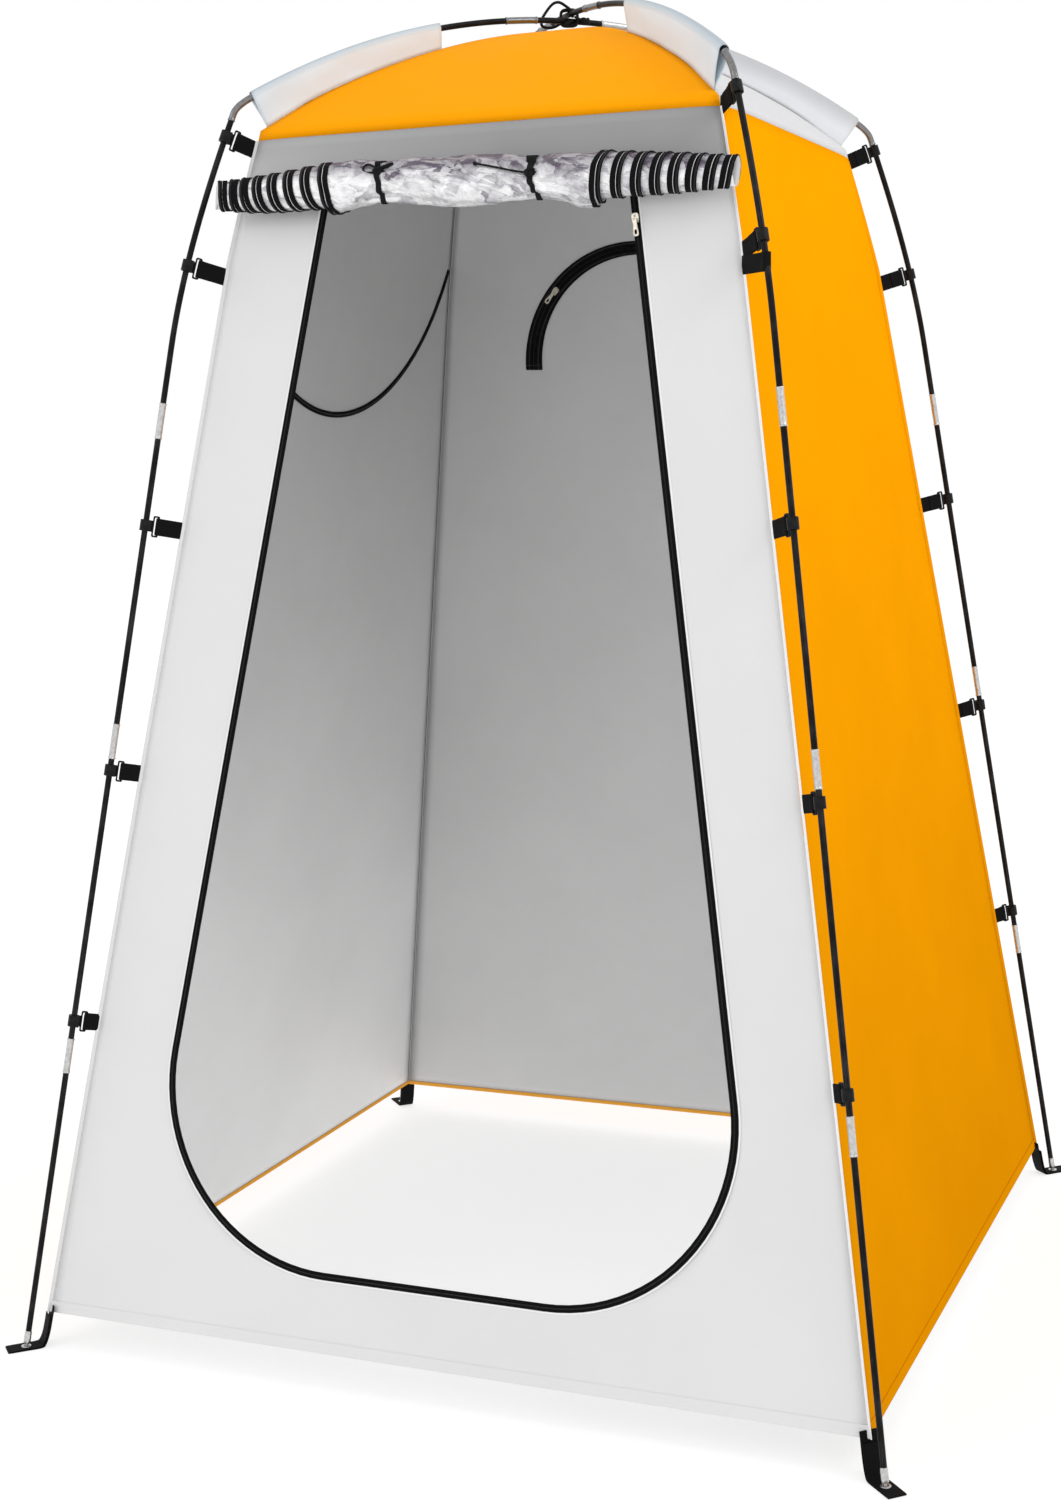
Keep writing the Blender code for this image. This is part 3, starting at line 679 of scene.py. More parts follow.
def add_plate(bm, outline, low, high, holes=()):
    """A flat plate between two depths, cut to an outline, with holes."""
    layer = lay_of(bm)
    edges = []
    for loop in (outline, *holes):
        verts = []
        for x, y in loop:
            vert = bm.verts.new((x, y, low))
            vert[layer] = (x, y, 0)
            verts.append(vert)
        edges += [bm.edges.new((a, b)) for a, b in zip(verts, verts[1:] + verts[:1])]
    filled = bmesh.ops.triangle_fill(bm, edges=edges, use_beauty=True)
    faces = [item for item in filled["geom"] if isinstance(item, bmesh.types.BMFace)]
    grown = bmesh.ops.extrude_face_region(bm, geom=faces)
    top = [item for item in grown["geom"] if isinstance(item, bmesh.types.BMVert)]
    bmesh.ops.translate(bm, verts=top, vec=(0, 0, high - low))
    turn_out(bm)


def round_box(x0, y0, x1, y1, radius, steps=4):
    """Outline of a rectangle with rounded corners."""
    outline = []
    for cx, cy, start in (
        (x1 - radius, y0 + radius, -90),
        (x1 - radius, y1 - radius, 0),
        (x0 + radius, y1 - radius, 90),
        (x0 + radius, y0 + radius, 180),
    ):
        outline += list(arc((cx, cy), radius, start, start + 90, steps))
    return outline


def bevel(thing, width, segments=2):
    modifier = thing.modifiers.new("rounded", "BEVEL")
    modifier.width = width
    modifier.segments = segments
    modifier.limit_method = "ANGLE"
    modifier.angle_limit = math.radians(40)
    modifier.harden_normals = True


def two_layers(thing, thick):
    """Give a single sheet its thickness, inwards, with the lining's material on the back."""
    modifier = thing.modifiers.new("cloth", "SOLIDIFY")
    modifier.thickness = thick
    modifier.offset = -1.0
    modifier.use_rim = True
    modifier.material_offset = 1
    modifier.material_offset_rim = 0


def smoothstep(value):
    value = min(max(value, 0.0), 1.0)
    return value * value * (3 - 2 * value)


# ---------------------------------------------------------------- frames of reference


def wall_lean():
    return math.atan2(HEM_HALF - EAVE_HALF, EAVE_Z - HEM_Z)


def wall_matrix(side):
    """Local X runs across the wall, Y up its slope, Z out of its outer face; the origin is mid-hem."""
    lean = wall_lean()
    across = Vector((1, 0, 0))
    up = Vector((0, math.sin(lean), math.cos(lean)))
    matrix = Matrix((across, up, across.cross(up))).transposed().to_4x4()
    matrix.translation = (0, -HEM_HALF, HEM_Z)
    return Matrix.Rotation(math.radians(SIDES[side]), 4, "Z") @ matrix


def wall_slope_height():
    return (EAVE_Z - HEM_Z) / math.cos(wall_lean())


def wall_half(height):
    """Half width of a wall at a height up its slope."""
    return HEM_HALF - (HEM_HALF - EAVE_HALF) * height / wall_slope_height()


def corner_direction(corner):
    return Vector((*CORNERS[corner], 0)).normalized()


def corner_matrix(corner):
    """Local X runs outwards along the diagonal, Y up, Z sideways."""
    out = corner_direction(corner)
    up = Vector((0, 0, 1))
    return Matrix((out, up, out.cross(up))).transposed().to_4x4()


def corner_pull(corner, z):
    rise = max(min(z, EAVE_Z) - PULL_START, 0.0) / (EAVE_Z - PULL_START)
    return CORNER_PULL[corner] * rise**1.15


def seam_reach(corner, z):
    """Distance of the corner seam from the tent's axis; above the eave it goes straight up."""
    rise = (min(z, EAVE_Z) - HEM_Z) / (EAVE_Z - HEM_Z)
    straight = (HEM_HALF - (HEM_HALF - EAVE_HALF) * rise) * math.sqrt(2)
    return straight - corner_pull(corner, z)


def hip_z(reach):
    return HIP_APEX_Z - HIP_DROP * (reach / HIP_REACH) ** HIP_POWER


def roll_matrix():
    """Local X along the rolled door, Z away from the wall; the origin is the middle of the roll."""
    up_slope = (ROLL_Z - HEM_Z) / math.cos(wall_lean())
    middle = Matrix.Translation((0, up_slope, ROLL_RADIUS + ROLL_CLEARANCE))
    return wall_matrix("front") @ middle @ Matrix.Rotation(math.radians(-ROLL_TILT), 4, "Z")


def joint(name):
    return next(item for item in frame["joints"] if item["name"] == name)


# ---------------------------------------------------------------- poles


def arch_z(reach, top):
    return top - ARCH_DROP * (reach / ARCH_SPAN) ** ARCH_POWER


def pole_profile(top):
    """Half a pole from its tip to the crossing, as (reach, z) points."""
    foot = Vector((FOOT_REACH, TIP_Z))
    leg = (BEND_START - foot).normalized()
    lean = math.radians(ELBOW_LEAN)
    upward = Vector((-math.sin(lean), math.cos(lean)))
    arch_end = Vector((ARCH_REACH, arch_z(ARCH_REACH, top)))
    slope = ARCH_POWER * (top - arch_end.y) / ARCH_REACH
    inward = Vector((-1, slope)).normalized()
    bend_handles = (BEND_START + leg * BEND_HANDLE, ELBOW_START - upward * BEND_HANDLE)
    elbow_handles = (ELBOW_START + upward * ELBOW_HANDLE, arch_end - inward * ARCH_HANDLE)
    straight = [foot.lerp(BEND_START, i / 24) for i in range(24)]
    bend = interpolate_bezier(BEND_START, *bend_handles, ELBOW_START, 24)
    elbow = interpolate_bezier(ELBOW_START, *elbow_handles, arch_end, 24)[1:]
    arch = []
    arch_points = 36
    for i in range(1, arch_points + 1):
        reach = ARCH_REACH * (1 - i / arch_points)
        arch.append(Vector((reach, arch_z(reach, top))))
    return [*straight, *[point.xy for point in bend + elbow], *arch]


def point_at(points, distance):
    total = lengths_along(points)
    for i in range(1, len(points)):
        if distance <= total[i]:
            part = (distance - total[i - 1]) / (total[i] - total[i - 1])
            return points[i - 1].lerp(points[i], part)
    return points[-1].copy()


def distance_at_reach(points, reach):
    """Distance along an inward profile at which it comes within a reach of the axis."""
    total = lengths_along(points)
    for i in range(1, len(points)):
        if reach >= points[i].x:
            part = (points[i - 1].x - reach) / (points[i - 1].x - points[i].x)
            return total[i - 1] + part * (total[i] - total[i - 1])
    return total[-1]


def stretch(points, start, end):
    """The part of a path between two distances along it."""
    total = lengths_along(points)
    middle = [point for point, distance in zip(points, total) if start < distance < end]
    return [point_at(points, start), *middle, point_at(points, end)]


def in_corner(corner, path):
    return [corner_matrix(corner) @ Vector((point.x, point.y, 0)) for point in path]


def add_ferrule(bm, path, material=1):
    """Steel sleeve over a pole joint, with rolled ends."""
    total = lengths_along(path)[-1]
    marks = [(0.0, 0.0), (0.0006, 0.0006), (0.0016, 0.0007), (0.0028, 0.0)]
    stations = []
    for distance, swell in marks:
        stations.append((distance, FERRULE_RADIUS - 0.0004 + swell))
    steps = 10
    for i in range(1, steps):
        stations.append((total * i / steps, FERRULE_RADIUS - 0.0004))
    for distance, swell in reversed(marks):
        stations.append((total - distance, FERRULE_RADIUS - 0.0004 + swell))
    stations.sort()
    places = [point_at(path, distance) for distance, _ in stations]
    add_tube(bm, places, [radius for _, radius in stations], sides=16, material=material)


def build_leg(corner):
    profile = pole_profile(ARCH_TOP[POLE_LEVEL[corner]])
    bm = new_bmesh()
    end = 4 * SECTION
    rod = stretch(profile, TIP_LENGTH - 0.004, end)
    add_tube(bm, in_corner(corner, rod), POLE_RADIUS, sides=14)
    for n in range(1, 5):
        low = SECTION * n - FERRULE_LENGTH
        sleeve = in_corner(corner, stretch(profile, low, SECTION * n))
        # the elbow ferrule takes the darker copy of the steel: a painted dark reflection
        add_ferrule(bm, sleeve, 2 if n == 4 else 1)
    tip = [
        (0.0, 0.0014),
        (0.0007, TIP_RADIUS),
        (0.0050, TIP_RADIUS),
        (0.0056, 0.0046),
        (0.0070, 0.0050),
        (TIP_LENGTH - 0.0014, 0.0050),
        (TIP_LENGTH, 0.0043),
    ]
    places = in_corner(corner, [point_at(profile, distance) for distance, _ in tip])
    add_tube(bm, places, [radius for _, radius in tip], sides=16, material=1)
    paints = [PAINTS["fibreglass"], PAINTS["steel"], PAINTS["steel_dark_reflection"]]
    leg = mesh_piece(f"pole_{corner}", bm, paints)
    settle(leg, f"leg_pole_{corner}")


def build_arch(level, corner):
    profile = pole_profile(ARCH_TOP[level])
    half = stretch(profile, 4 * SECTION, lengths_along(profile)[-1])
    mirrored = [Vector((-point.x, point.y)) for point in reversed(half[:-1])]
    bm = new_bmesh()
    add_tube(bm, in_corner(corner, half + mirrored), POLE_RADIUS, sides=14)
    low = 5 * SECTION - FERRULE_LENGTH
    for sign in (1, -1):
        piece = [Vector((p.x * sign, p.y)) for p in stretch(profile, low, 5 * SECTION)]
        # one ferrule of the lower arch takes the plain steel, the others the darker copy: a painted dark
        # reflection
        bright = sign == 1 and level == "lower"
        add_ferrule(bm, in_corner(corner, piece), 1 if bright else 2)
    paints = [PAINTS["fibreglass"], PAINTS["steel"], PAINTS["steel_dark_reflection"]]
    arch = mesh_piece(f"arch_{level}", bm, paints)
    settle(arch, f"arch_pole_{level}")


# ---------------------------------------------------------------- walls and roof


def hook_heights():
    """Heights up the wall of the hooks, from their joints."""
    lean = math.cos(wall_lean())
    heights = []
    for number in range(1, HOOK_COUNT + 1):
        z = joint(f"hook_front_left_{number}_swivel")["pos_m"][2]
        heights.append((min(z, EAVE_Z) - HEM_Z) / lean)
    return heights


def wall_ripple(x, y, seed, pulls):
    """Depth of the slack and tension folds of a wall: nothing at its edges."""
    height = wall_slope_height()
    half = wall_half(y)
    edge = min(half - abs(x), y, height - y)
    fade = smoothstep(edge / 0.10)
    slack = noise.noise(Vector((x * 2.6, y * 1.7, seed))) * 0.0014
    slack += noise.noise(Vector((x * 9.0, y * 5.0, seed + 7.0))) * 0.0004
    folds = 0.0
    for place in pulls:
        for sign in (-1, 1):
            dx, dy = sign * wall_half(place) - x, place - y
            reach = math.hypot(dx, dy)
            angle = math.atan2(dy, dx * sign)
            folds += math.sin(angle * 9.0 + seed) * math.exp(-reach / 0.07) * smoothstep(reach / 0.03)
    return fade * slack + smoothstep(edge / 0.03) * folds * 0.0011


def door_path(offset=0.0):
    """Door edge from top left, round the bottom, to top right; offset grows the opening."""
    lean = math.atan(DOOR_FLARE)
    radius = DOOR_CORNER + offset
    centre_y = DOOR_BOTTOM + DOOR_CORNER
    edge_x = DOOR_TOP_HALF + (DOOR_TOP - centre_y) * DOOR_FLARE
    centre_x = edge_x - DOOR_CORNER / math.cos(lean)
    corner = list(arc((centre_x, centre_y), radius, -90, math.degrees(lean), 24))
    top = Vector((DOOR_TOP_HALF + offset / math.cos(lean), DOOR_TOP))
    side = [corner[-1].lerp(top, i / 28) for i in range(1, 29)]
    bottom = [Vector((0.0, corner[0].y)).lerp(corner[0], i / 6) for i in range(1, 6)]
    right = [*bottom, *corner, *side]
    left = [Vector((-point.x, point.y)) for point in reversed(right)]
    return [*left, Vector((0.0, corner[0].y)), *right]


def outer_partner(point):
    """Where on the wall's outline the cloth beside a point of the door edge reaches."""
    turn = DOOR_BOTTOM + DOOR_CORNER
    if point.y >= turn:
        return Vector((math.copysign(wall_half(point.y), point.x), point.y))
    swing = math.atan2(turn - point.y, max(abs(point.x) - 0.17, 0.0))
    share = min(swing / (math.pi / 2), 1.0)
    if share < 0.5:
        y = turn * (1 - share / 0.5)
        return Vector((math.copysign(wall_half(y), point.x), y))
    x = HEM_HALF + (abs(point.x) - HEM_HALF) * smoothstep((share - 0.5) / 0.5)
    return Vector((math.copysign(x, point.x), 0.0))


def at_corner(side, x, y):
    """How far a wall's point moves in along X and into the tent, near a corner that stands in."""
    lean = wall_lean()
    corner = WALL_CORNERS[side][x > 0]
    share = min(abs(x) / wall_half(y), 1.0) ** PULL_SHARE
    pull = corner_pull(corner, HEM_Z + y * math.cos(lean)) * share / math.sqrt(2)
    return Vector((math.copysign(pull, -x), pull * math.sin(lean), -pull * math.cos(lean)))


def add_wall_rows(bm, rows, side, seed, pulls, material=0):
    shaped = []
    for row in rows:
        flat = [Vector((p.x, p.y, wall_ripple(p.x, p.y, seed, pulls))) for p in row]
        shaped.append([p + at_corner(side, p.x, p.y) for p in flat])
    lays = [[(p.x, p.y) for p in row] for row in rows]
    add_grid(bm, shaped, lays, material)


def build_wall(side):
    height = wall_slope_height()
    pulls = hook_heights()
    seed = 3.0 + SIDES[side] / 30
    bm = new_bmesh()
    if side == "front":
        edge = door_path()
        beside = [[e.lerp(outer_partner(e), i / 12) for e in edge] for i in range(13)]
        add_wall_rows(bm, beside[::-1], side, seed, pulls)
        # rows above the door, which carry the header's painted shade
        header = []
        for i in range(7):
            y = DOOR_TOP + (height - DOOR_TOP) * i / 6
            header.append([Vector((wall_half(y) * (2 * k / 40 - 1), y)) for k in range(41)])
        add_wall_rows(bm, header, side, seed, pulls, 2)
        paints = [PAINTS["grey"], PAINTS["lining"], PAINTS["header"]]
    else:
        rows = []
        for i in range(81):
            y = height * i / 80
            rows.append([Vector((wall_half(y) * (2 * k / 48 - 1), y)) for k in range(49)])
        add_wall_rows(bm, rows, side, seed, pulls)
        # the left wall's lining is a copy with stronger painted light at its foot
        paints = [PAINTS["orange"], PAINTS["lining_left_lit" if side == "left" else "lining"]]
    bmesh.ops.remove_doubles(bm, verts=bm.verts, dist=0.00002)
    turn_out(bm)
    if sum((face.normal.z for face in bm.faces)) < 0:
        bmesh.ops.reverse_faces(bm, faces=bm.faces)
    wall = mesh_piece(f"cloth_{side}", bm, paints, wall_matrix(side), sharp=None)
    if side == "front":
        wall.data.materials.append(PAINTS["lining"].material)
    two_layers(wall, SHEET_THICK)
    settle(wall, f"wall_{side}")


def roof_profile():
    """Outer face of a roof panel from the eave to the top, as (distance from the axis, height)."""
    points = [Vector((EAVE_HALF, EAVE_Z + 0.0003))]
    steps = 28
    for i in range(steps + 1):
        reach = HIP_REACH - (HIP_REACH - ROOF_VENT) * i / steps
        points.append(Vector((reach / math.sqrt(2), hip_z(reach))))
    return points


def build_roof(side):
    profile = roof_profile()
    columns = 36
    rows, lays = [], []
    for point, along in zip(profile, lengths_along(profile)):
        row, lay_row = [], []
        for k in range(columns + 1):
            share = 2 * k / columns - 1
            edge = smoothstep((1 - abs(share)) * point.x / 0.06) * smoothstep(along / 0.06)
            slack = noise.noise(Vector((share * 1.6, along * 6.0, SIDES[side] + 2.0))) * 0.0012 * edge
            pull = CORNER_PULL[WALL_CORNERS[side][share > 0]] * abs(share) ** PULL_SHARE / math.sqrt(2)
            pull *= 1 - smoothstep(along / PULL_FADE)
            x = share * point.x - math.copysign(pull, share)
            row.append(Vector((x, pull - point.x - slack * 0.4, point.y + slack)))
            lay_row.append((share * point.x, along))
        rows.append(row)
        lays.append(lay_row)
    bm = new_bmesh()
    add_grid(bm, rows, lays)
    paints = [PAINTS["orange_roof" if side in ("front", "back") else "grey_roof"], PAINTS["lining"]]
    matrix = Matrix.Rotation(math.radians(SIDES[side]), 4, "Z")
    roof = mesh_piece(f"roof_cloth_{side}", bm, paints, matrix, sharp=None)
    two_layers(roof, ROOF_THICK)
    settle(roof, f"roof_{side}")


def sleeve_depth(pole, up):
    """How far below the pole, against up, the hip seam lies."""
    depth = 0.0
    while (pole - up * depth).y > hip_z((pole - up * depth).x) + 0.0004:
        depth += 0.0002
    return depth


def build_sleeve(corner):
    """White channel over the pole: cloth drapes over the rod and is sewn to the hip seam."""
    profile = pole_profile(ARCH_TOP[POLE_LEVEL[corner]])
    start = distance_at_reach(profile, SLEEVE_OUTER)
    length = distance_at_reach(profile, SLEEVE_INNER) - start
    steps = 44
    seed = sum(CORNERS[corner]) * 5.0 + CORNERS[corner][0]
    rows, lays = [], []
    for i in range(steps + 1):
        distance = start + length * i / steps
        pole = point_at(profile, distance)
        along = (point_at(profile, distance + 0.003) - pole).normalized()
        up = (Vector((along.y, -along.x)) + Vector((0, 1))).normalized()
        depth = sleeve_depth(pole, up)
        end_pull = CORNER_PULL[corner] * (1 - smoothstep((distance - start) / PULL_FADE))
        section = [(0.0011, -depth)]
        for k in range(1, 7):
            share = k / 7
            spread = (SLEEVE_RADIUS - 0.0016) * smoothstep(share) ** 0.8
            section.append((0.0011 + spread, -depth * (1 - share)))
        section += [(p.x, p.y) for p in arc((0, 0), SLEEVE_RADIUS, -5, 90, 6)]
        section += [(-x, y) for x, y in reversed(section[:-1])]
        row, lay_row, run = [], [], 0.0
        last = None
        for x, y in section:
            spot = Vector((x, y))
            run += (spot - last).length if last else 0.0
            last = spot
            low = smoothstep(min(-y, depth + y) / 0.012) if y < 0 else 0.0
            wave = noise.noise(Vector((distance * 16.0, y * 22.0, seed + (3.0 if x > 0 else 0.0))))
            pleat = math.sin(distance * 105.0 + y * 60.0) * 0.0004
            x += math.copysign(1.0, x) * low * (wave * 0.0026 + pleat)
            low_end = min(-y / depth, 1.0) if y < 0 else 0.0
            reach = pole.x + up.x * y - end_pull * low_end
            row.append(Vector((reach, pole.y + up.y * y, x)))
            lay_row.append((run, distance))
        lay_row = [(across - run / 2, along) for across, along in lay_row]
        rows.append(row)
        lays.append(lay_row)
    bm = new_bmesh()
    add_grid(bm, rows, lays)
    turn_out(bm)
    # front sleeves take a copy of the sleeve cloth painted for their light: bluer against the orange light
    # bounced onto them, with narrower painted shade
    paint = PAINTS["white_front_shade_copy" if corner.startswith("front") else "white"]
    sleeve = mesh_piece(f"sleeve_{corner}", bm, [paint, paint], corner_matrix(corner), None)
    top_face = max(sleeve.data.polygons, key=lambda face: face.center.y)
    if top_face.normal.y < 0:
        sleeve.data.flip_normals()
    two_layers(sleeve, SLEEVE_CLOTH)
    settle(sleeve, f"pole_sleeve_{corner}")


def build_hem(side):
    """Hem folded up round the bottom edge of a wall: a tall fold outside, an orange lip inside."""
    inner = 0.0034
    fold_out, fold_in = 0.016, 0.0065
    section = [
        (0.0007, fold_out),
        (0.0008, fold_out * 0.5),
        (0.0008, 0.0004),
        (0.0002, -0.0006),
        (-inner + 0.0010, -0.0006),
        (-inner, 0.0004),
        (-inner, fold_in * 0.6),
        (-inner + 0.0012, fold_in),
        (-0.0012, fold_in * 0.5),
        (-0.0006, 0.0016),
        (-0.0002, fold_out - 0.0004),
    ]
    bm = new_bmesh()
    rows, lays = [], []
    for k in range(61):
        share = 2 * k / 60 - 1
        row = [Vector((share * (wall_half(y) - (0.0 if z > 0 else -z)), y, z)) for z, y in section]
        rows.append(row)
        lays.append([(share * HEM_HALF, y) for z, y in section])
    grid = add_grid(bm, rows, lays, wrap=True)
    cap_ends(bm, grid)
    turn_out(bm)
    outside, inside = ("grey", "grey") if side == "front" else ("orange", "hem_orange")
    for face in bm.faces:
        face.material_index = 1 if face.calc_center_median().z < -0.0008 else 0
    hem = mesh_piece(f"hem_{side}", bm, [PAINTS[outside], PAINTS[inside]], wall_matrix(side), 30)
    settle(hem)


def build_piping(corner):
    """Bound edge standing out of a corner seam from the hem to the eave."""
    paint = {"front_right": "white_trim", "front_left": "grey"}.get(corner, "orange")
    bm = new_bmesh()
    edge = SEAM_FIN - 0.0008
    section = [(-0.002, 0.0007), (edge, 0.0007), (SEAM_FIN, 0.0), (edge, -0.0007), (-0.002, -0.0007)]
    rows, lays = [], []
    steps = 60
    for i in range(steps + 1):
        z = HEM_Z + (EAVE_Z - HEM_Z) * i / steps
        reach = seam_reach(corner, z)
        rows.append([Vector((reach + x, z, side)) for x, side in section])
        lays.append([(side * 2 + x, z) for x, side in section])
    grid = add_grid(bm, rows, lays, wrap=True)
    cap_ends(bm, grid)
    turn_out(bm)
    piping = mesh_piece(f"piping_{corner}", bm, [PAINTS[paint]], corner_matrix(corner), 30)
    settle(piping, f"seam_tape_{corner}")


def build_inner_seam(corner):
    """Bound seam allowance inside a vertical corner."""
    bm = new_bmesh()
    path, wide, normals = [], [], []
    for i in range(41):
        z = HEM_Z + 0.004 + (EAVE_Z - HEM_Z - 0.006) * i / 40
        reach = seam_reach(corner, z) - 0.0045
        path.append(Vector((reach, z, 0)))
        wide.append(Vector((1, 0, 0)))
        normals.append(Vector((0, 0, 1)))
    add_band(bm, path, wide, normals, 0.0026, 0.0012)
    seam = mesh_piece(f"inner_seam_{corner}", bm, [PAINTS["binding"]], corner_matrix(corner), 30)
    settle(seam)


# ---------------------------------------------------------------- hooks, straps and feet


def hook_frame(corner, number):
    """Local Z up the pole, X outwards, origin on the pole's axis, from the hook's own joint."""
    facts = joint(f"hook_{corner}_{number}_swivel")
    up = Vector(facts["axis"]).normalized()
    if up.z < 0:
        up = -up
    out = corner_direction(corner)
    out = (out - up * out.dot(up)).normalized()
    matrix = Matrix((out, up.cross(out), up)).transposed().to_4x4()
    matrix.translation = Vector(facts["pos_m"])
    return matrix


def join(bm, part):
    """Move a part's mesh into another."""
    scratch = bpy.data.meshes.new("part")
    part.to_mesh(scratch)
    part.free()
    bm.from_mesh(scratch)
    bpy.data.meshes.remove(scratch)


def hook_mesh():
    """Snap hook: a sprung C-clip with a flared lip, a ribbed neck and a slotted frame."""
    bm = new_bmesh()
    stem_half = 0.0012
    lip = 118
    outer = list(arc((0, 0), HOOK_OUTER, -171, lip - 12, 26))
    flare = vectors((-0.0046, 0.0080), (-0.0060, 0.0086), (-0.0066, 0.0080), (-0.0052, 0.0066))
    inner = list(arc((0, 0), HOOK_INNER, lip, -166, 26))
    outline = outer + flare + inner
    stem_end = -HOOK_STEM_REACH - 0.0008
    outline += vectors((stem_end, stem_half), (stem_end, -stem_half))
    add_plate(bm, outline, -HOOK_CLIP_HEIGHT / 2, HOOK_CLIP_HEIGHT / 2)
    for z in (-0.0052, 0.0, 0.0052):
        rib = new_bmesh()
        outline = vectors((-0.0098, -0.0024), (-0.0060, -0.0048), (-0.0066, -0.0026))
        add_plate(rib, outline, z - 0.0006, z + 0.0006)
        join(bm, rib)
    half, high = HOOK_PLATE_THICK / 2, HOOK_PLATE_HEIGHT / 2
    slot_high = WEBBING_WIDTH / 2 + 0.0006
    plate = new_bmesh()
    outline = round_box(-HOOK_PLATE_REACH, -high, -HOOK_STEM_REACH, high, 0.0022)
    hole = round_box(-SLOT_FAR, -slot_high, -SLOT_NEAR, slot_high, 0.0012)
    add_plate(plate, outline, -half, half, [hole])
    upright = Matrix.Rotation(math.radians(90), 3, "X")
    bmesh.ops.rotate(plate, verts=plate.verts, cent=(0, 0, 0), matrix=upright)
    join(bm, plate)
    mesh = bpy.data.meshes.new("snap_hook_shape")
    bm.to_mesh(mesh)
    bm.free()
    mesh.shade_smooth()
    mesh.set_sharp_from_angle(angle=math.radians(35))
    mesh.materials.append(PAINTS["plastic"].material)
    return mesh


def build_hook(corner, number, mesh):
    hook = bpy.data.objects.new(f"snap_{corner}_{number}", mesh)
    bpy.context.scene.collection.objects.link(hook)
    hook.matrix_world = hook_frame(corner, number)
    bevel(hook, 0.0004)
    settle(hook, f"hook_{corner}_{number}", f"hook_{corner}_{number}")


def seam_distance(matrix, corner, up):
    """How far in along the hook's -X the corner seam lies, at a height on the hook."""
    out = corner_direction(corner)
    reach_in = 0.02
    for _ in range(30):
        spot = matrix @ Vector((-reach_in, 0, up))
        gap = spot.dot(out) - seam_reach(corner, spot.z)
        reach_in += gap
    return reach_in


def build_strap(corner, number):
    """Webbing strap from the corner seam, through the hook's slot and back on itself."""
    matrix = hook_frame(corner, number)
    half = WEBBING_WIDTH / 2
    bar = HOOK_PLATE_THICK / 2 + WEBBING_THICK / 2 + 0.0001
    turn = SLOT_FAR - 0.0011
    columns = 7
    lows = [seam_distance(matrix, corner, half * (2 * k / (columns - 1) - 1)) for k in range(columns)]
    shortest = min(lows)
    doubled = min(0.036, shortest - 0.004)
    rest = [
        (-doubled - 0.002, 0.0003),
        (-doubled + 0.004, 0.0006),
        (-HOOK_PLATE_REACH - 0.005, 0.0010),
        (-HOOK_PLATE_REACH - 0.0008, bar),
        (-SLOT_FAR - 0.0004, bar),
        (-turn + 0.0002, bar * 0.75),
        (-turn + 0.0008, 0.0),
        (-turn + 0.0002, -bar * 0.75),
        (-SLOT_FAR - 0.0004, -bar),
        (-HOOK_PLATE_REACH - 0.0008, -bar),
        (-HOOK_PLATE_REACH - 0.005, -0.0010),
        (-doubled + 0.004, -0.0007),
        (-doubled, -0.0007),
    ]
    spine = [Vector((x, y, 0)) for x, y in rest]
    bm = new_bmesh()
    top, bottom = [], []
    for k in range(columns):
        up = half * (2 * k / (columns - 1) - 1)
        first = -lows[k] + 0.0005
        lead = [Vector((first + (rest[0][0] - first) * i / 4, rest[0][1] * i / 4, 0)) for i in range(4)]
        path = lead + spine
        tangents = directions(path)
        across = [Vector((-t.y, t.x, 0)) for t in tangents]
        total = lengths_along(path)
        thin = WEBBING_THICK / 2 * (1.0 if 0 < k < columns - 1 else 0.55)
        lift = Vector((0, 0, up))
        for face, offset in ((top, thin), (bottom, -thin)):
            face.append([(p + n * offset + lift, (up, d)) for p, n, d in zip(path, across, total)])
    loop = top + bottom[::-1]
    rows = [[point for point, lay in row] for row in zip(*loop)]
    lays = [[lay for point, lay in row] for row in zip(*loop)]
    grid = add_grid(bm, rows, lays, wrap=True)
    cap_ends(bm, grid)
    turn_out(bm)
    strap = mesh_piece(f"strap_{corner}_{number}", bm, [PAINTS["webbing"]], matrix, 40)
    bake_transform(strap)


def build_strap_loop(corner, number):
    """Plain loop of webbing round the pole just under a hook, sewn into the corner seam."""
    hook = hook_frame(corner, number)
    centre = hook.translation.z - 0.5 * HOOK_PLATE_HEIGHT - 0.5 * WEBBING_WIDTH - 0.006
    profile = pole_profile(ARCH_TOP[POLE_LEVEL[corner]])
    pole = min(profile, key=lambda point: abs(point.y - centre)).x
    for near, far in zip(profile, profile[1:]):
        if near.y <= centre <= far.y:
            pole = near.lerp(far, (centre - near.y) / (far.y - near.y)).x
    radius = POLE_RADIUS + WEBBING_THICK / 2 + 0.0004
    seam = seam_reach(corner, centre)
    path = [Vector((seam - 0.001, centre, 0.0007))]
    path += [Vector((seam + (pole - 0.012 - seam) * i / 6, centre, 0.0007)) for i in range(1, 7)]
    path += [Vector((pole - 0.006, centre, radius * 0.8))]
    path += [Vector((p.x, centre, p.y)) for p in arc((pole, 0), radius, 100, -100, 16)]
    path += [Vector((pole - 0.006, centre, -radius * 0.8))]
    path += [Vector((seam + (pole - 0.012 - seam) * i / 6, centre, -0.0007)) for i in range(6, 0, -1)]
    tangents = directions(path)
    up = Vector((0, 1, 0))
    bm = new_bmesh()
    add_band(bm, path, [up] * len(path), [up.cross(t) for t in tangents], WEBBING_WIDTH, WEBBING_THICK)
    turn_out(bm)
    loop = mesh_piece(f"strap_loop_{corner}", bm, [PAINTS["webbing"]], corner_matrix(corner), 40)
    settle(loop)


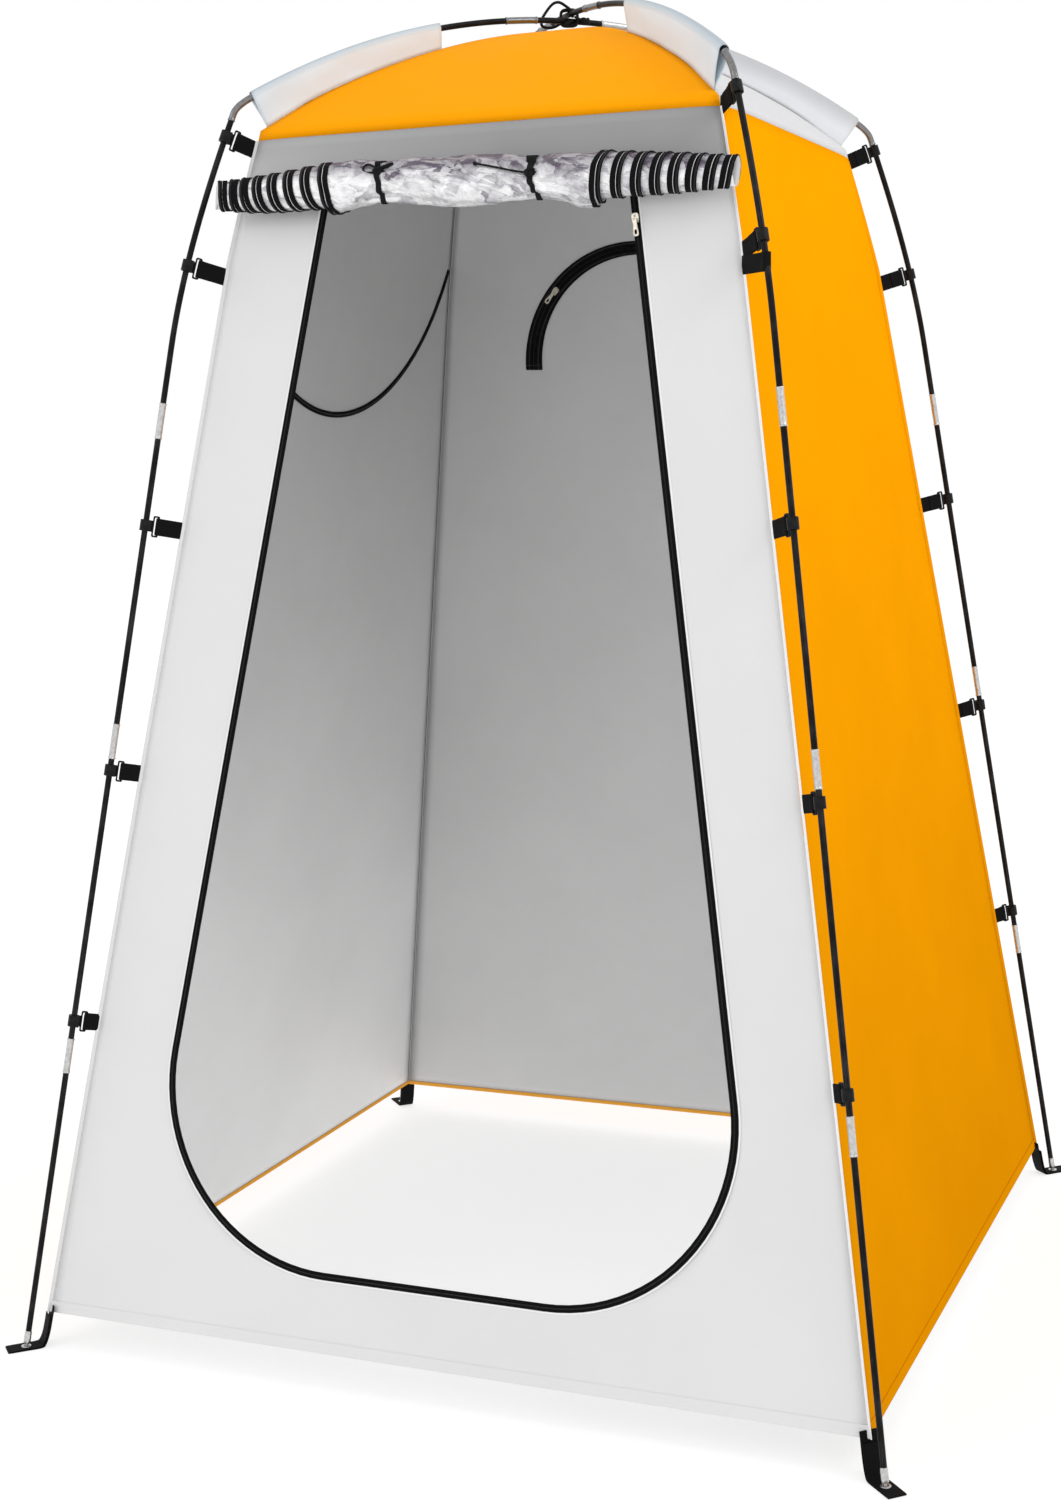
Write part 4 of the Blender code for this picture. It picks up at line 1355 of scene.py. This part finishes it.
def build_foot(corner):
    """Webbing foot sewn into the hem corner, with an eyelet that takes the pole's tip."""
    reach = seam_reach(corner, HEM_Z)
    side = Vector((0, 0, 1))
    bm = new_bmesh()
    under = [(reach - 0.004, HEM_Z + 0.010), (reach - 0.002, HEM_Z), (reach + 0.004, 0.022)]
    under += [(reach + 0.010, 0.006), (reach + 0.016, 0.0012), (FOOT_REACH, 0.0009)]
    under += [(FOOT_END - 0.002, 0.0010)]
    over = [(FOOT_END - 0.001, 0.0016), (FOOT_END - 0.002, 0.0024), (FOOT_REACH, 0.0026)]
    over += [(reach + 0.020, 0.0028), (reach + 0.014, 0.0060), (reach + 0.0085, 0.020)]
    over += [(reach + 0.0030, HEM_Z - 0.004)]
    path = smooth_path([Vector((x, y, 0)) for x, y in under + over], 5)
    tangents = directions(path)
    normals = [Vector((-t.y, t.x, 0)) for t in tangents]
    add_band(bm, path, [side] * len(path), normals, FOOT_WIDTH, WEBBING_THICK)
    foot = mesh_piece(f"foot_strap_{corner}", bm, [PAINTS["webbing"]], corner_matrix(corner), 40)
    settle(foot, f"foot_{corner}")
    ring = new_bmesh()
    rim = [(0.0030, 0.0034), (0.0036, 0.0041), (0.0052, 0.0042)]
    rim += [(0.0070, 0.0036), (0.0072, 0.0030), (0.0030, 0.0028)]
    rows, lays = [], []
    for k in range(28):
        angle = 2 * math.pi * k / 28
        spin = Vector((math.cos(angle), 0, math.sin(angle)))
        rows.append([Vector((FOOT_REACH, 0, 0)) + spin * radius + Vector((0, z, 0)) for radius, z in rim])
        lays.append([(radius, angle * radius) for radius, z in rim])
    rows.append(rows[0])
    lays.append(lays[0])
    add_grid(ring, rows, lays, wrap=True)
    bmesh.ops.remove_doubles(ring, verts=ring.verts, dist=0.00001)
    turn_out(ring)
    eyelet = mesh_piece(f"eyelet_{corner}", ring, [PAINTS["steel"]], corner_matrix(corner), 50)
    settle(eyelet)


# ---------------------------------------------------------------- zips


def ribbon(bm, path, low, high, width, material=0, shift=0.0):
    """Flat ribbon on a wall along a path of (across, up) points, between two heights off the wall."""
    flat = [Vector((point.x, point.y, 0)) for point in path]
    tangents = directions(flat)
    out = Vector((0, 0, 1))
    wide = [out.cross(tangent) for tangent in tangents]
    centre = [p + w * shift + out * (low + high) / 2 for p, w in zip(flat, wide)]
    add_band(bm, centre, wide, [out] * len(flat), width, high - low, material)


def add_coil(bm, path, height, radius, sign):
    """Half-round nylon coil lying on a zip tape."""
    spots = [Vector((p.x, p.y, height * sign)) for p in path]
    add_tube(bm, spots, radius, sides=10, material=1)


def build_zip(name, side, path, width, node, inside, waist=1.0):
    """Woven tape with a nylon coil down its middle, and stitches on each side of a wide one.

    The waist is the tape's width half way along it, as a share of its width at the ends.
    """
    sign = -1 if inside else 1
    base = SHEET_THICK if inside else 0.0
    low, high = base + 0.0002, base + ZIP_TAPE + 0.0006
    bm = new_bmesh()
    last = len(path) - 1
    widths = [width * (waist + (1 - waist) * abs(2 * i / last - 1)) for i in range(last + 1)]
    ribbon(bm, path, *sorted((sign * low, sign * high)), widths)
    add_coil(bm, path, high + 0.0002, 0.0011, sign)
    if width > 0.02:
        stitches = sorted((sign * high, sign * (high + 0.0004)))
        for shift in (-1, 1):
            ribbon(bm, path, *stitches, 0.0012, 2, shift * width * 0.36 * waist)
        if waist < 1:
            for end in (path[0], path[-1]):
                across = [Vector((end.x + step * width * 0.44, end.y + 0.008)) for step in (-1, 1)]
                ribbon(bm, across, *stitches, 0.0012, 2)
    turn_out(bm)
    paints = [PAINTS["tape"], PAINTS["coil"], PAINTS["thread"]]
    zipper = mesh_piece(name, bm, paints, wall_matrix(side), 40)
    settle(zipper, node)


def build_zips():
    build_zip("zip_of_door", "front", door_path(), DOOR_ZIP_WIDTH, "door_zip", False)
    edging = new_bmesh()
    ribbon(edging, door_path(DOOR_ZIP_WIDTH / 2 + 0.0016), 0.0001, 0.0013, 0.0024)
    turn_out(edging)
    trim = mesh_piece("door_edging", edging, [PAINTS["white_trim"]], wall_matrix("front"), 40)
    settle(trim)
    for side, window in (("back", BACK_WINDOW), ("left", LEFT_WINDOW)):
        path = list(arc(window["centre"], window["radius"], *window["arc"], 60))
        waist = 0.74 if side == "back" else 1.0
        build_zip(f"zip_of_{side}_window", side, path, window["width"], f"{side}_window_zip", True, waist)


def slider_parts(bm):
    """Zip slider in its own frame: Y up the zip, Z off the tape."""
    right = [(0.0036, -0.0058), (0.0044, -0.0030), (0.0048, 0.0030), (0.0040, 0.0060), (0.0022, 0.0068)]
    outline = vectors((-0.0036, -0.0058), *right, *[(-x, y) for x, y in right[:0:-1]])
    add_plate(bm, outline, 0.0024, 0.0034)
    add_plate(bm, outline, 0.0, 0.0006)
    post = vectors((-0.0013, 0.001), (0.0013, 0.001), (0.0018, 0.0066), (-0.0018, 0.0066))
    add_plate(bm, post, 0.0006, 0.0024)
    hoop = [(-0.0046, 0.0032), (-0.0042, 0.0046), (-0.0010, 0.0052), (0.0026, 0.0046), (0.0034, 0.0032)]
    bridge = smooth_path([(0, y, z) for y, z in hoop], 5)
    add_tube(bm, bridge, 0.0007, sides=8, squash=1.8)


def pull_parts(bm):
    """Pull tab in its own frame: the hinge along X at the origin, the tab towards -Y."""
    right = [(0.0022, 0.0012), (0.0026, -0.008), (0.0038, -0.0190), (0.0034, -0.0225), (0.0020, -0.0240)]
    tab = vectors((-0.0022, 0.0012), *right, *[(-x, y) for x, y in right[:0:-1]])
    eye = list(arc((0, -0.0012), 0.0012, 0, 360, 12))[:-1]
    hole = round_box(-0.0016, -0.0215, 0.0016, -0.0150, 0.0015, 3)
    add_plate(bm, tab, -0.0006, 0.0006, [eye, hole])
    left = [(-0.0020, -0.0100, 0.0007), (-0.0028, -0.0188, 0.0007), (-0.0016, -0.0229, 0.0007)]
    rim = smooth_path(left + [(-x, y, z) for x, y, z in reversed(left)], 4)
    add_tube(bm, rim, 0.0004, sides=6)


def build_slider(name, side, place, turn, outwards):
    sign = 1 if outwards else -1
    spin = Matrix.Rotation(math.radians(turn), 4, "Z")
    face = ZIP_FACE + (0.0003 if outwards else 0.0023)
    base = wall_matrix(side) @ Matrix.Translation((*place, sign * face)) @ spin
    flip = Matrix.Scale(sign, 4, Vector((0, 0, 1)))
    hinge = Matrix.Translation(Vector(joint(f"{name}_pull_swing")["pos_m"]))
    pieces = (
        (f"{name}_slider", slider_parts, base @ flip),
        (f"{name}_pull", pull_parts, hinge @ (base @ flip).to_3x3().to_4x4()),
    )
    for node, parts, matrix in pieces:
        bm = new_bmesh()
        parts(bm)
        bm.transform(matrix)
        turn_out(bm)
        piece = mesh_piece(f"cast_{node}", bm, [PAINTS["zinc"]], None, 40)
        bevel(piece, 0.0002, 1)
        settle(piece, node, node)


def build_sliders():
    door_height = 1.528
    edge_x = DOOR_TOP_HALF + (DOOR_TOP - door_height) * DOOR_FLARE
    build_slider("door_zip", "front", (edge_x, door_height), math.degrees(math.atan(DOOR_FLARE)), True)
    places = (("back_zip", "back", BACK_WINDOW, 42), ("left_zip", "left", LEFT_WINDOW, -36))
    for name, side, window, angle in places:
        place = next(arc(window["centre"], window["radius"], angle, angle, 1))
        build_slider(name, side, place, angle if angle > 0 else angle + 90, False)


# ---------------------------------------------------------------- rolled door


def flap_half(distance):
    """Half width of the door flap, as bunched in the roll, at a distance down from its top edge."""
    straight = DOOR_TOP - DOOR_BOTTOM - DOOR_CORNER
    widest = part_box("rolled_door")[1].x - 0.001
    if distance <= straight:
        return FLAP_BUNCHED_HALF + (widest - FLAP_BUNCHED_HALF) * distance / straight
    below = min((distance - straight) / DOOR_CORNER, 1.0)
    return widest - DOOR_CORNER * (1 - math.sqrt(1 - below * below))


def roll_spiral():
    """(distance down the flap, turn angle, radius) from the outside of the roll to its core."""
    length = DOOR_TOP - DOOR_BOTTOM
    turns = length / (math.pi * (ROLL_RADIUS + ROLL_CORE))
    pitch = (ROLL_RADIUS - ROLL_CORE) / turns
    steps = int(turns * 44)
    marks, distance = [], 0.0
    for i in range(steps + 1):
        angle = 2 * math.pi * turns * i / steps
        radius = ROLL_RADIUS - pitch * angle / (2 * math.pi)
        if marks:
            distance += (angle - marks[-1][1]) * (radius + marks[-1][2]) / 2
        marks.append((distance, angle, radius))
    return marks


def roll_shape(x, angle, radius):
    """Point of the roll after the ties squeeze it and the cloth between them bags."""
    squeeze, pleats = 1.0, 0.0
    ring = Vector((math.sin(angle), math.cos(angle)))
    forward = math.atan2(ring.x, -ring.y)
    for place in TIE_PLACES.values():
        away = abs(x - place)
        squeeze -= 0.18 * math.exp(-((away / 0.016) ** 2))
        pleats += math.sin(forward * 9.0 + place * 40 + away * 60) * math.exp(-away / 0.035) * 0.0022
    outer = smoothstep((radius - ROLL_RADIUS + 0.0030) / 0.0030)
    end = smoothstep((FLAP_BUNCHED_HALF + 0.03 - abs(x)) / 0.04)
    lump = noise.noise(Vector((x * 13.0, ring.x * 1.4, ring.y * 1.4))) * 0.07
    crumple = noise.noise(Vector((x * 30.0, ring.x * 2.6 + 4.0, ring.y * 2.6))) * 0.0042
    bag = 0.0
    for place, width, depth in ((-0.215, 0.060, 0.0110), (0.0, 0.060, 0.0040), (0.172, 0.022, 0.0120)):
        bag += depth * math.exp(-(((x - place) / width) ** 2)) * max(ring.x, 0.0) ** 1.5
    fold_at = math.radians(-10 + 72 * smoothstep((x + 0.105) / 0.10))
    inside = smoothstep((x + 0.125) / 0.02) * smoothstep((0.10 - x) / 0.02)
    fold = 0.0022 * inside * math.exp(-(((forward - fold_at) / 0.12) ** 2))
    scaled = radius * squeeze * (1 + lump * end)
    scaled += outer * end * (crumple + pleats + fold + bag * squeeze)
    droop = ROLL_DROOP * smoothstep((-x - 0.13) / 0.20)
    flat = 1 - ROLL_END_FLAT * smoothstep((abs(x) - 0.30) / 0.08)
    return Vector((x, -scaled * ring.x - droop, -scaled * ring.y * flat))


def build_rolled_door():
    marks = roll_spiral()
    columns = 150
    rows, lays = [], []
    for distance, angle, radius in marks:
        half = flap_half(min(distance, DOOR_TOP - DOOR_BOTTOM - 0.002))
        row, lay_row = [], []
        for k in range(columns + 1):
            x = half * (2 * k / columns - 1)
            row.append(roll_shape(x, angle, radius))
            lay_row.append((x, distance))
        rows.append(row)
        lays.append(lay_row)
    bm = new_bmesh()
    add_grid(bm, rows, lays)
    roll = mesh_piece("door_roll", bm, [PAINTS["foil"], PAINTS["grey"]], roll_matrix(), sharp=None)
    two_layers(roll, 0.0005)
    settle(roll, "rolled_door")
    edge = new_bmesh()
    tape_end = DOOR_TOP - DOOR_BOTTOM - 0.92 * DOOR_CORNER
    for sign in (-1, 1):
        for inset, width, lift, thick, material in (
            (0.0034, 0.0070, 0.0010, 0.0010, 0),
            (0.0072, 0.0007, 0.0010, 0.0006, 2),
            (0.0114, 0.0078, 0.0010, 0.0010, 0),
            (0.0024, 0.0022, 0.0016, 0.0012, 1),
        ):
            path, wide, normals = [], [], []
            for distance, angle, radius in marks:
                if distance > tape_end:
                    break
                half = flap_half(distance)
                spot = roll_shape(sign * (half - inset), angle, radius)
                droop = ROLL_DROOP * smoothstep((-spot.x - 0.13) / 0.20)
                out = Vector((0, spot.y + droop, spot.z)).normalized()
                path.append(spot + out * lift)
                wide.append(Vector((1, 0, 0)))
                normals.append(out)
            add_band(edge, path, wide, normals, width, thick, material)
    turn_out(edge)
    paints = [PAINTS["tape"], PAINTS["coil"], PAINTS["white_trim"]]
    tape = mesh_piece("door_roll_tape", edge, paints, roll_matrix(), 40)
    settle(tape)


# ---------------------------------------------------------------- ties


def on_roll(x, rise, lift):
    """Point over the front of the roll, at a height above its middle line."""
    angle = math.pi + math.asin(rise / ROLL_RADIUS)
    spot = roll_shape(x, angle, ROLL_RADIUS)
    return spot + Vector((0, spot.y, spot.z)).normalized() * lift


def add_knot(bm, centre, size, radius, turn=0.0):
    """Overhand knot drawn tight: a trefoil of cord."""
    path = []
    for i in range(48):
        t = 2 * math.pi * i / 48
        swell = (2 + math.cos(3 * t)) * size / 3
        spot = Vector((swell * math.cos(2 * t), swell * math.sin(2 * t) * 0.8, math.sin(3 * t) * size / 3))
        spot.rotate(Matrix.Rotation(turn, 3, "Z"))
        path.append(centre + spot)
    add_tube(bm, path, radius, sides=8, closed=True)


def add_tail(bm, points, wide, narrow):
    """Short end of a tie, flattened, tapering to its cut tip."""
    path = smooth_path(points, 5)
    last = len(path) - 1
    radii = [(wide + (narrow - wide) * i / last) / 2 for i in range(last + 1)]
    add_tube(bm, path, radii, sides=8, squash=0.55)


def finish_tie(bm, name, node, matrix):
    turn_out(bm)
    tie = mesh_piece(name, bm, [PAINTS["cord"]], matrix, 50)
    settle(tie, node)


def cord_piece(name, path, diameter, matrix, **facts):
    """A free cord along a path in the matrix's frame."""
    placed = [matrix @ point for point in path]
    cord = tube_piece(name, placed, diameter / 2, PAINTS["cord"], sides=10)
    settle(cord)


def build_roll_ties():
    """Cord ties round the rolled door: a small bow on the left one, a long tail on the right one."""
    matrix = roll_matrix()
    for side, place in TIE_PLACES.items():
        bm = new_bmesh()
        path, normals, widths = [], [], []
        for i in range(61):
            angle = 2 * math.pi * i / 60
            spot = roll_shape(place, angle, ROLL_RADIUS)
            out = Vector((0, spot.y, spot.z)).normalized()
            path.append(spot + out * 0.0009 + Vector((math.sin(angle) * 0.003, 0, 0)))
            normals.append(out)
            spread = TIE_SPREAD * smoothstep((angle / math.pi - 1.05) / 0.35) if side == "right" else 0.0
            widths.append(TIE_WIDTH + spread)
        add_band(bm, path, [Vector((1, 0, 0))] * len(path), normals, widths, 0.0014)
        rise = 0.008 if side == "left" else -0.001
        knot = on_roll(place, rise, 0.0030)
        add_knot(bm, knot, 0.0060, 0.0028, 0.5)
        if side == "left":
            upper = vectors((0, 0, 0), (0.009, 0.005, 0.002), (0.022, 0.010, 0.0))
            lower = vectors((0, 0, 0), (0.010, -0.002, 0.002), (0.022, -0.006, 0.0))
            add_tail(bm, [knot + step for step in upper], 0.0072, 0.0044)
            add_tail(bm, [knot + step for step in lower], 0.0066, 0.0040)
            bow = [(0.0, 0.0015), (-0.008, 0.0075), (-0.0165, 0.0090), (-0.0215, 0.0040)]
            bow += [(-0.0180, -0.0012), (-0.009, -0.0018), (0.0, -0.001)]
            points = smooth_path([knot + Vector((x, y, 0.0018)) for x, y in bow], 8)
            cord_piece("tie_bow", points, TIE_CORD, matrix, far_end="object", lay="loose")
        else:
            run = [(0.0, 0.0), (-0.010, 0.0005), (-0.026, 0.0025), (-0.050, 0.0070), (-0.076, 0.0115)]
            points = [on_roll(place + x, rise + y, 0.0030 if x > -0.005 else 0.0020) for x, y in run]
            points = smooth_path(points, 8)
            end = new_bmesh()
            add_knot(end, points[-1], 0.0022, 0.0010)
            stop = mesh_piece("tie_tail_knot", end, [PAINTS["cord"]], matrix, 50)
            settle(stop)
            cord_piece(
                "tie_tail", points, TIE_CORD, matrix, far_end="knot", lay="loose", with_pieces=[stop]
            )
        finish_tie(bm, f"tie_round_roll_{side}", f"roll_tie_{side}", matrix)


def build_apex_tie():
    """Cord lashed round the crossing of the poles, with one long loop and a short stub."""
    low, high = ARCH_TOP["lower"] - POLE_RADIUS, ARCH_TOP["upper"] + POLE_RADIUS
    middle = (low + high) / 2
    turn = math.radians(APEX_TURN)
    matrix = Matrix.Rotation(-turn, 4, "Z") @ Matrix.Translation((0, 0, middle))
    bm = new_bmesh()
    reach, rise = POLE_RADIUS * math.sqrt(2) + 0.0062, (high - low) / 2 + APEX_CORD * 0.6
    for shift, slant in ((-0.0030, 0.0022), (0.0, -0.0026), (0.0030, 0.0018)):
        path = []
        for i in range(36):
            angle = 2 * math.pi * i / 36
            bulge = (abs(math.cos(angle)) ** 4 + abs(math.sin(angle)) ** 4) ** -0.25
            x, z = reach * bulge * math.cos(angle), rise * bulge * math.sin(angle)
            path.append(Vector((x, shift + slant * math.sin(angle), z)))
        add_tube(bm, path, APEX_CORD / 2, sides=10, closed=True)
    knot = Vector((0.0235, -0.0005, -0.0050))
    add_knot(bm, knot, 0.0062, APEX_CORD * 0.72, 0.9)
    add_tail(bm, [Vector((0.008, -0.008, 0.0)), knot], 0.0050, 0.0050)
    stub = vectors((0.004, -0.0095, -0.004), (-0.001, -0.0120, -0.0085), (-0.006, -0.0125, -0.0115))
    add_tail(bm, stub, 0.0050, 0.0075)
    finish_tie(bm, "apex_lashing", "apex_tie", matrix)
    loop = [
        (-0.010, 0.008, -0.005),
        (-0.024, 0.003, -0.0125),
        (-0.038, -0.006, -0.0130),
        (-0.041, -0.008, -0.0050),
        (-0.034, -0.007, 0.0075),
        (-0.024, -0.006, 0.0190),
        (-0.0145, -0.005, 0.0215),
        (-0.005, -0.006, 0.0160),
        (0.0035, -0.009, 0.0080),
        (0.0050, -0.011, -0.0010),
    ]
    cord_piece("apex_loop", smooth_path(loop, 5), APEX_CORD, matrix, far_end="object", lay="loose")


# ---------------------------------------------------------------- stage


def build_stage():
    bm = new_bmesh()
    half, steps = 60.0, 6
    rows, lays = [], []
    for i in range(steps + 1):
        y = half * (2 * i / steps - 1)
        rows.append([Vector((half * (2 * k / steps - 1), y, 0)) for k in range(steps + 1)])
        lays.append([(point.x, point.y) for point in rows[-1]])
    add_grid(bm, rows, lays)
    floor = mesh_piece("studio_floor", bm, [floor_paint()])

    world = bpy.data.worlds.new("studio")
    bpy.context.scene.world = world
    world.use_nodes = True
    background = world.node_tree.nodes["Background"]
    background.inputs["Color"].default_value = (1, 1, 1, 1)
    background.inputs["Strength"].default_value = 1.0

    for name, place, power, size in (
        ("key", (-2.6, -4.2, 4.4), 22, 2.5),
        ("side", (3.0, -0.6, 3.4), 22, 1.2),
    ):
        light = bpy.data.lights.new(name, "AREA")
        light.energy = power
        light.size = size
        lamp = bpy.data.objects.new(name, light)
        bpy.context.scene.collection.objects.link(lamp)
        lamp.location = place
        lamp.rotation_euler = (Vector((0, 0, 0.9)) - Vector(place)).to_track_quat("-Z", "Y").to_euler()


def build_camera():
    yaw, pitch, roll = (math.radians(a) for a in (CAMERA_YAW, CAMERA_PITCH, CAMERA_ROLL))
    forward = Vector((math.sin(yaw) * math.cos(pitch), math.cos(yaw) * math.cos(pitch), -math.sin(pitch)))
    right = forward.cross(Vector((0, 0, 1))).normalized()
    up = right.cross(forward)
    side = right * math.cos(roll) + up * math.sin(roll)
    head = up * math.cos(roll) - right * math.sin(roll)
    camera = bpy.data.objects.new("camera", bpy.data.cameras.new("camera"))
    bpy.context.scene.collection.objects.link(camera)
    facing = Matrix((side, head, -forward)).transposed().to_4x4()
    camera.matrix_world = Matrix.Translation(CAMERA_PLACE) @ facing
    camera.data.lens = CAMERA_LENS
    camera.data.sensor_fit = "VERTICAL"
    camera.data.sensor_height = CAMERA_SENSOR
    bpy.context.scene.camera = camera
    bpy.context.scene.view_settings.view_transform = "Standard"


# ---------------------------------------------------------------- assembly

PAINTS = {
    "grey": cloth_paint("grey_cloth_weave", (0.73, 0.73, 0.73)),
    "grey_roof": cloth_paint("grey_roof_weave", (0.66, 0.66, 0.67)),
    "orange": orange_paint(),
    "orange_roof": cloth_paint("orange_roof_weave", ORANGE),
    "hem_orange": cloth_paint("hem_cloth_weave", (0.90, 0.42, 0.060)),
    "white": sleeve_paint("white_cloth_weave", (0.745, 0.755, 0.775), 0.034),
    # copy of the sleeve cloth for the front sleeves: a bluer tint that offsets the orange light bounced
    # onto them, and a narrower painted crown shade
    "white_front_shade_copy": sleeve_paint("white_cloth_front_shade_copy", (0.73, 0.81, 0.87), 0.016),
    "white_trim": cloth_paint("white_trim_weave", (0.88, 0.88, 0.88)),
    "binding": cloth_paint("binding_weave", (0.62, 0.62, 0.63)),
    # front wall strip above the door, in painted shade
    "header": header_shade_paint(),
    "lining": lining_paint(),
    # left wall's copy of the lining, with strong painted light at the foot of the wall
    "lining_left_lit": lining_paint("silver_lining_left", low=0.88),
    "foil": foil_paint(),
    "webbing": webbing_paint(),
    "tape": webbing_paint("zip_tape_weave", (0.005, 0.005, 0.0055)),
    "thread": webbing_paint("thread", (0.05, 0.05, 0.05)),
    "plastic": plastic_paint(),
    "fibreglass": fibreglass_paint(),
    "steel": metal_paint("ferrule_steel", (0.62, 0.62, 0.62), 0.32),
    # darker copy of the ferrule steel: a painted dark reflection
    "steel_dark_reflection": metal_paint("steel_painted_dark_reflection", (0.24, 0.24, 0.245), 0.22),
    "zinc": metal_paint("plated_zinc", (0.86, 0.80, 0.68), 0.28),
    "coil": coil_paint(),
    "cord": cord_paint(),
}

build_camera()
build_stage()
for wall_side in SIDES:
    build_wall(wall_side)
    build_roof(wall_side)
    build_hem(wall_side)
snap_hook = hook_mesh()
for tent_corner in CORNERS:
    build_leg(tent_corner)
    build_sleeve(tent_corner)
    build_piping(tent_corner)
    build_inner_seam(tent_corner)
    build_foot(tent_corner)
    for hook_number in range(1, HOOK_COUNT + 1):
        build_hook(tent_corner, hook_number, snap_hook)
        build_strap(tent_corner, hook_number)
build_arch("lower", "rear_right")
build_arch("upper", "rear_left")
build_rolled_door()
build_roll_ties()
build_apex_tie()
build_strap_loop("front_right", 2)
build_zips()
build_sliders()
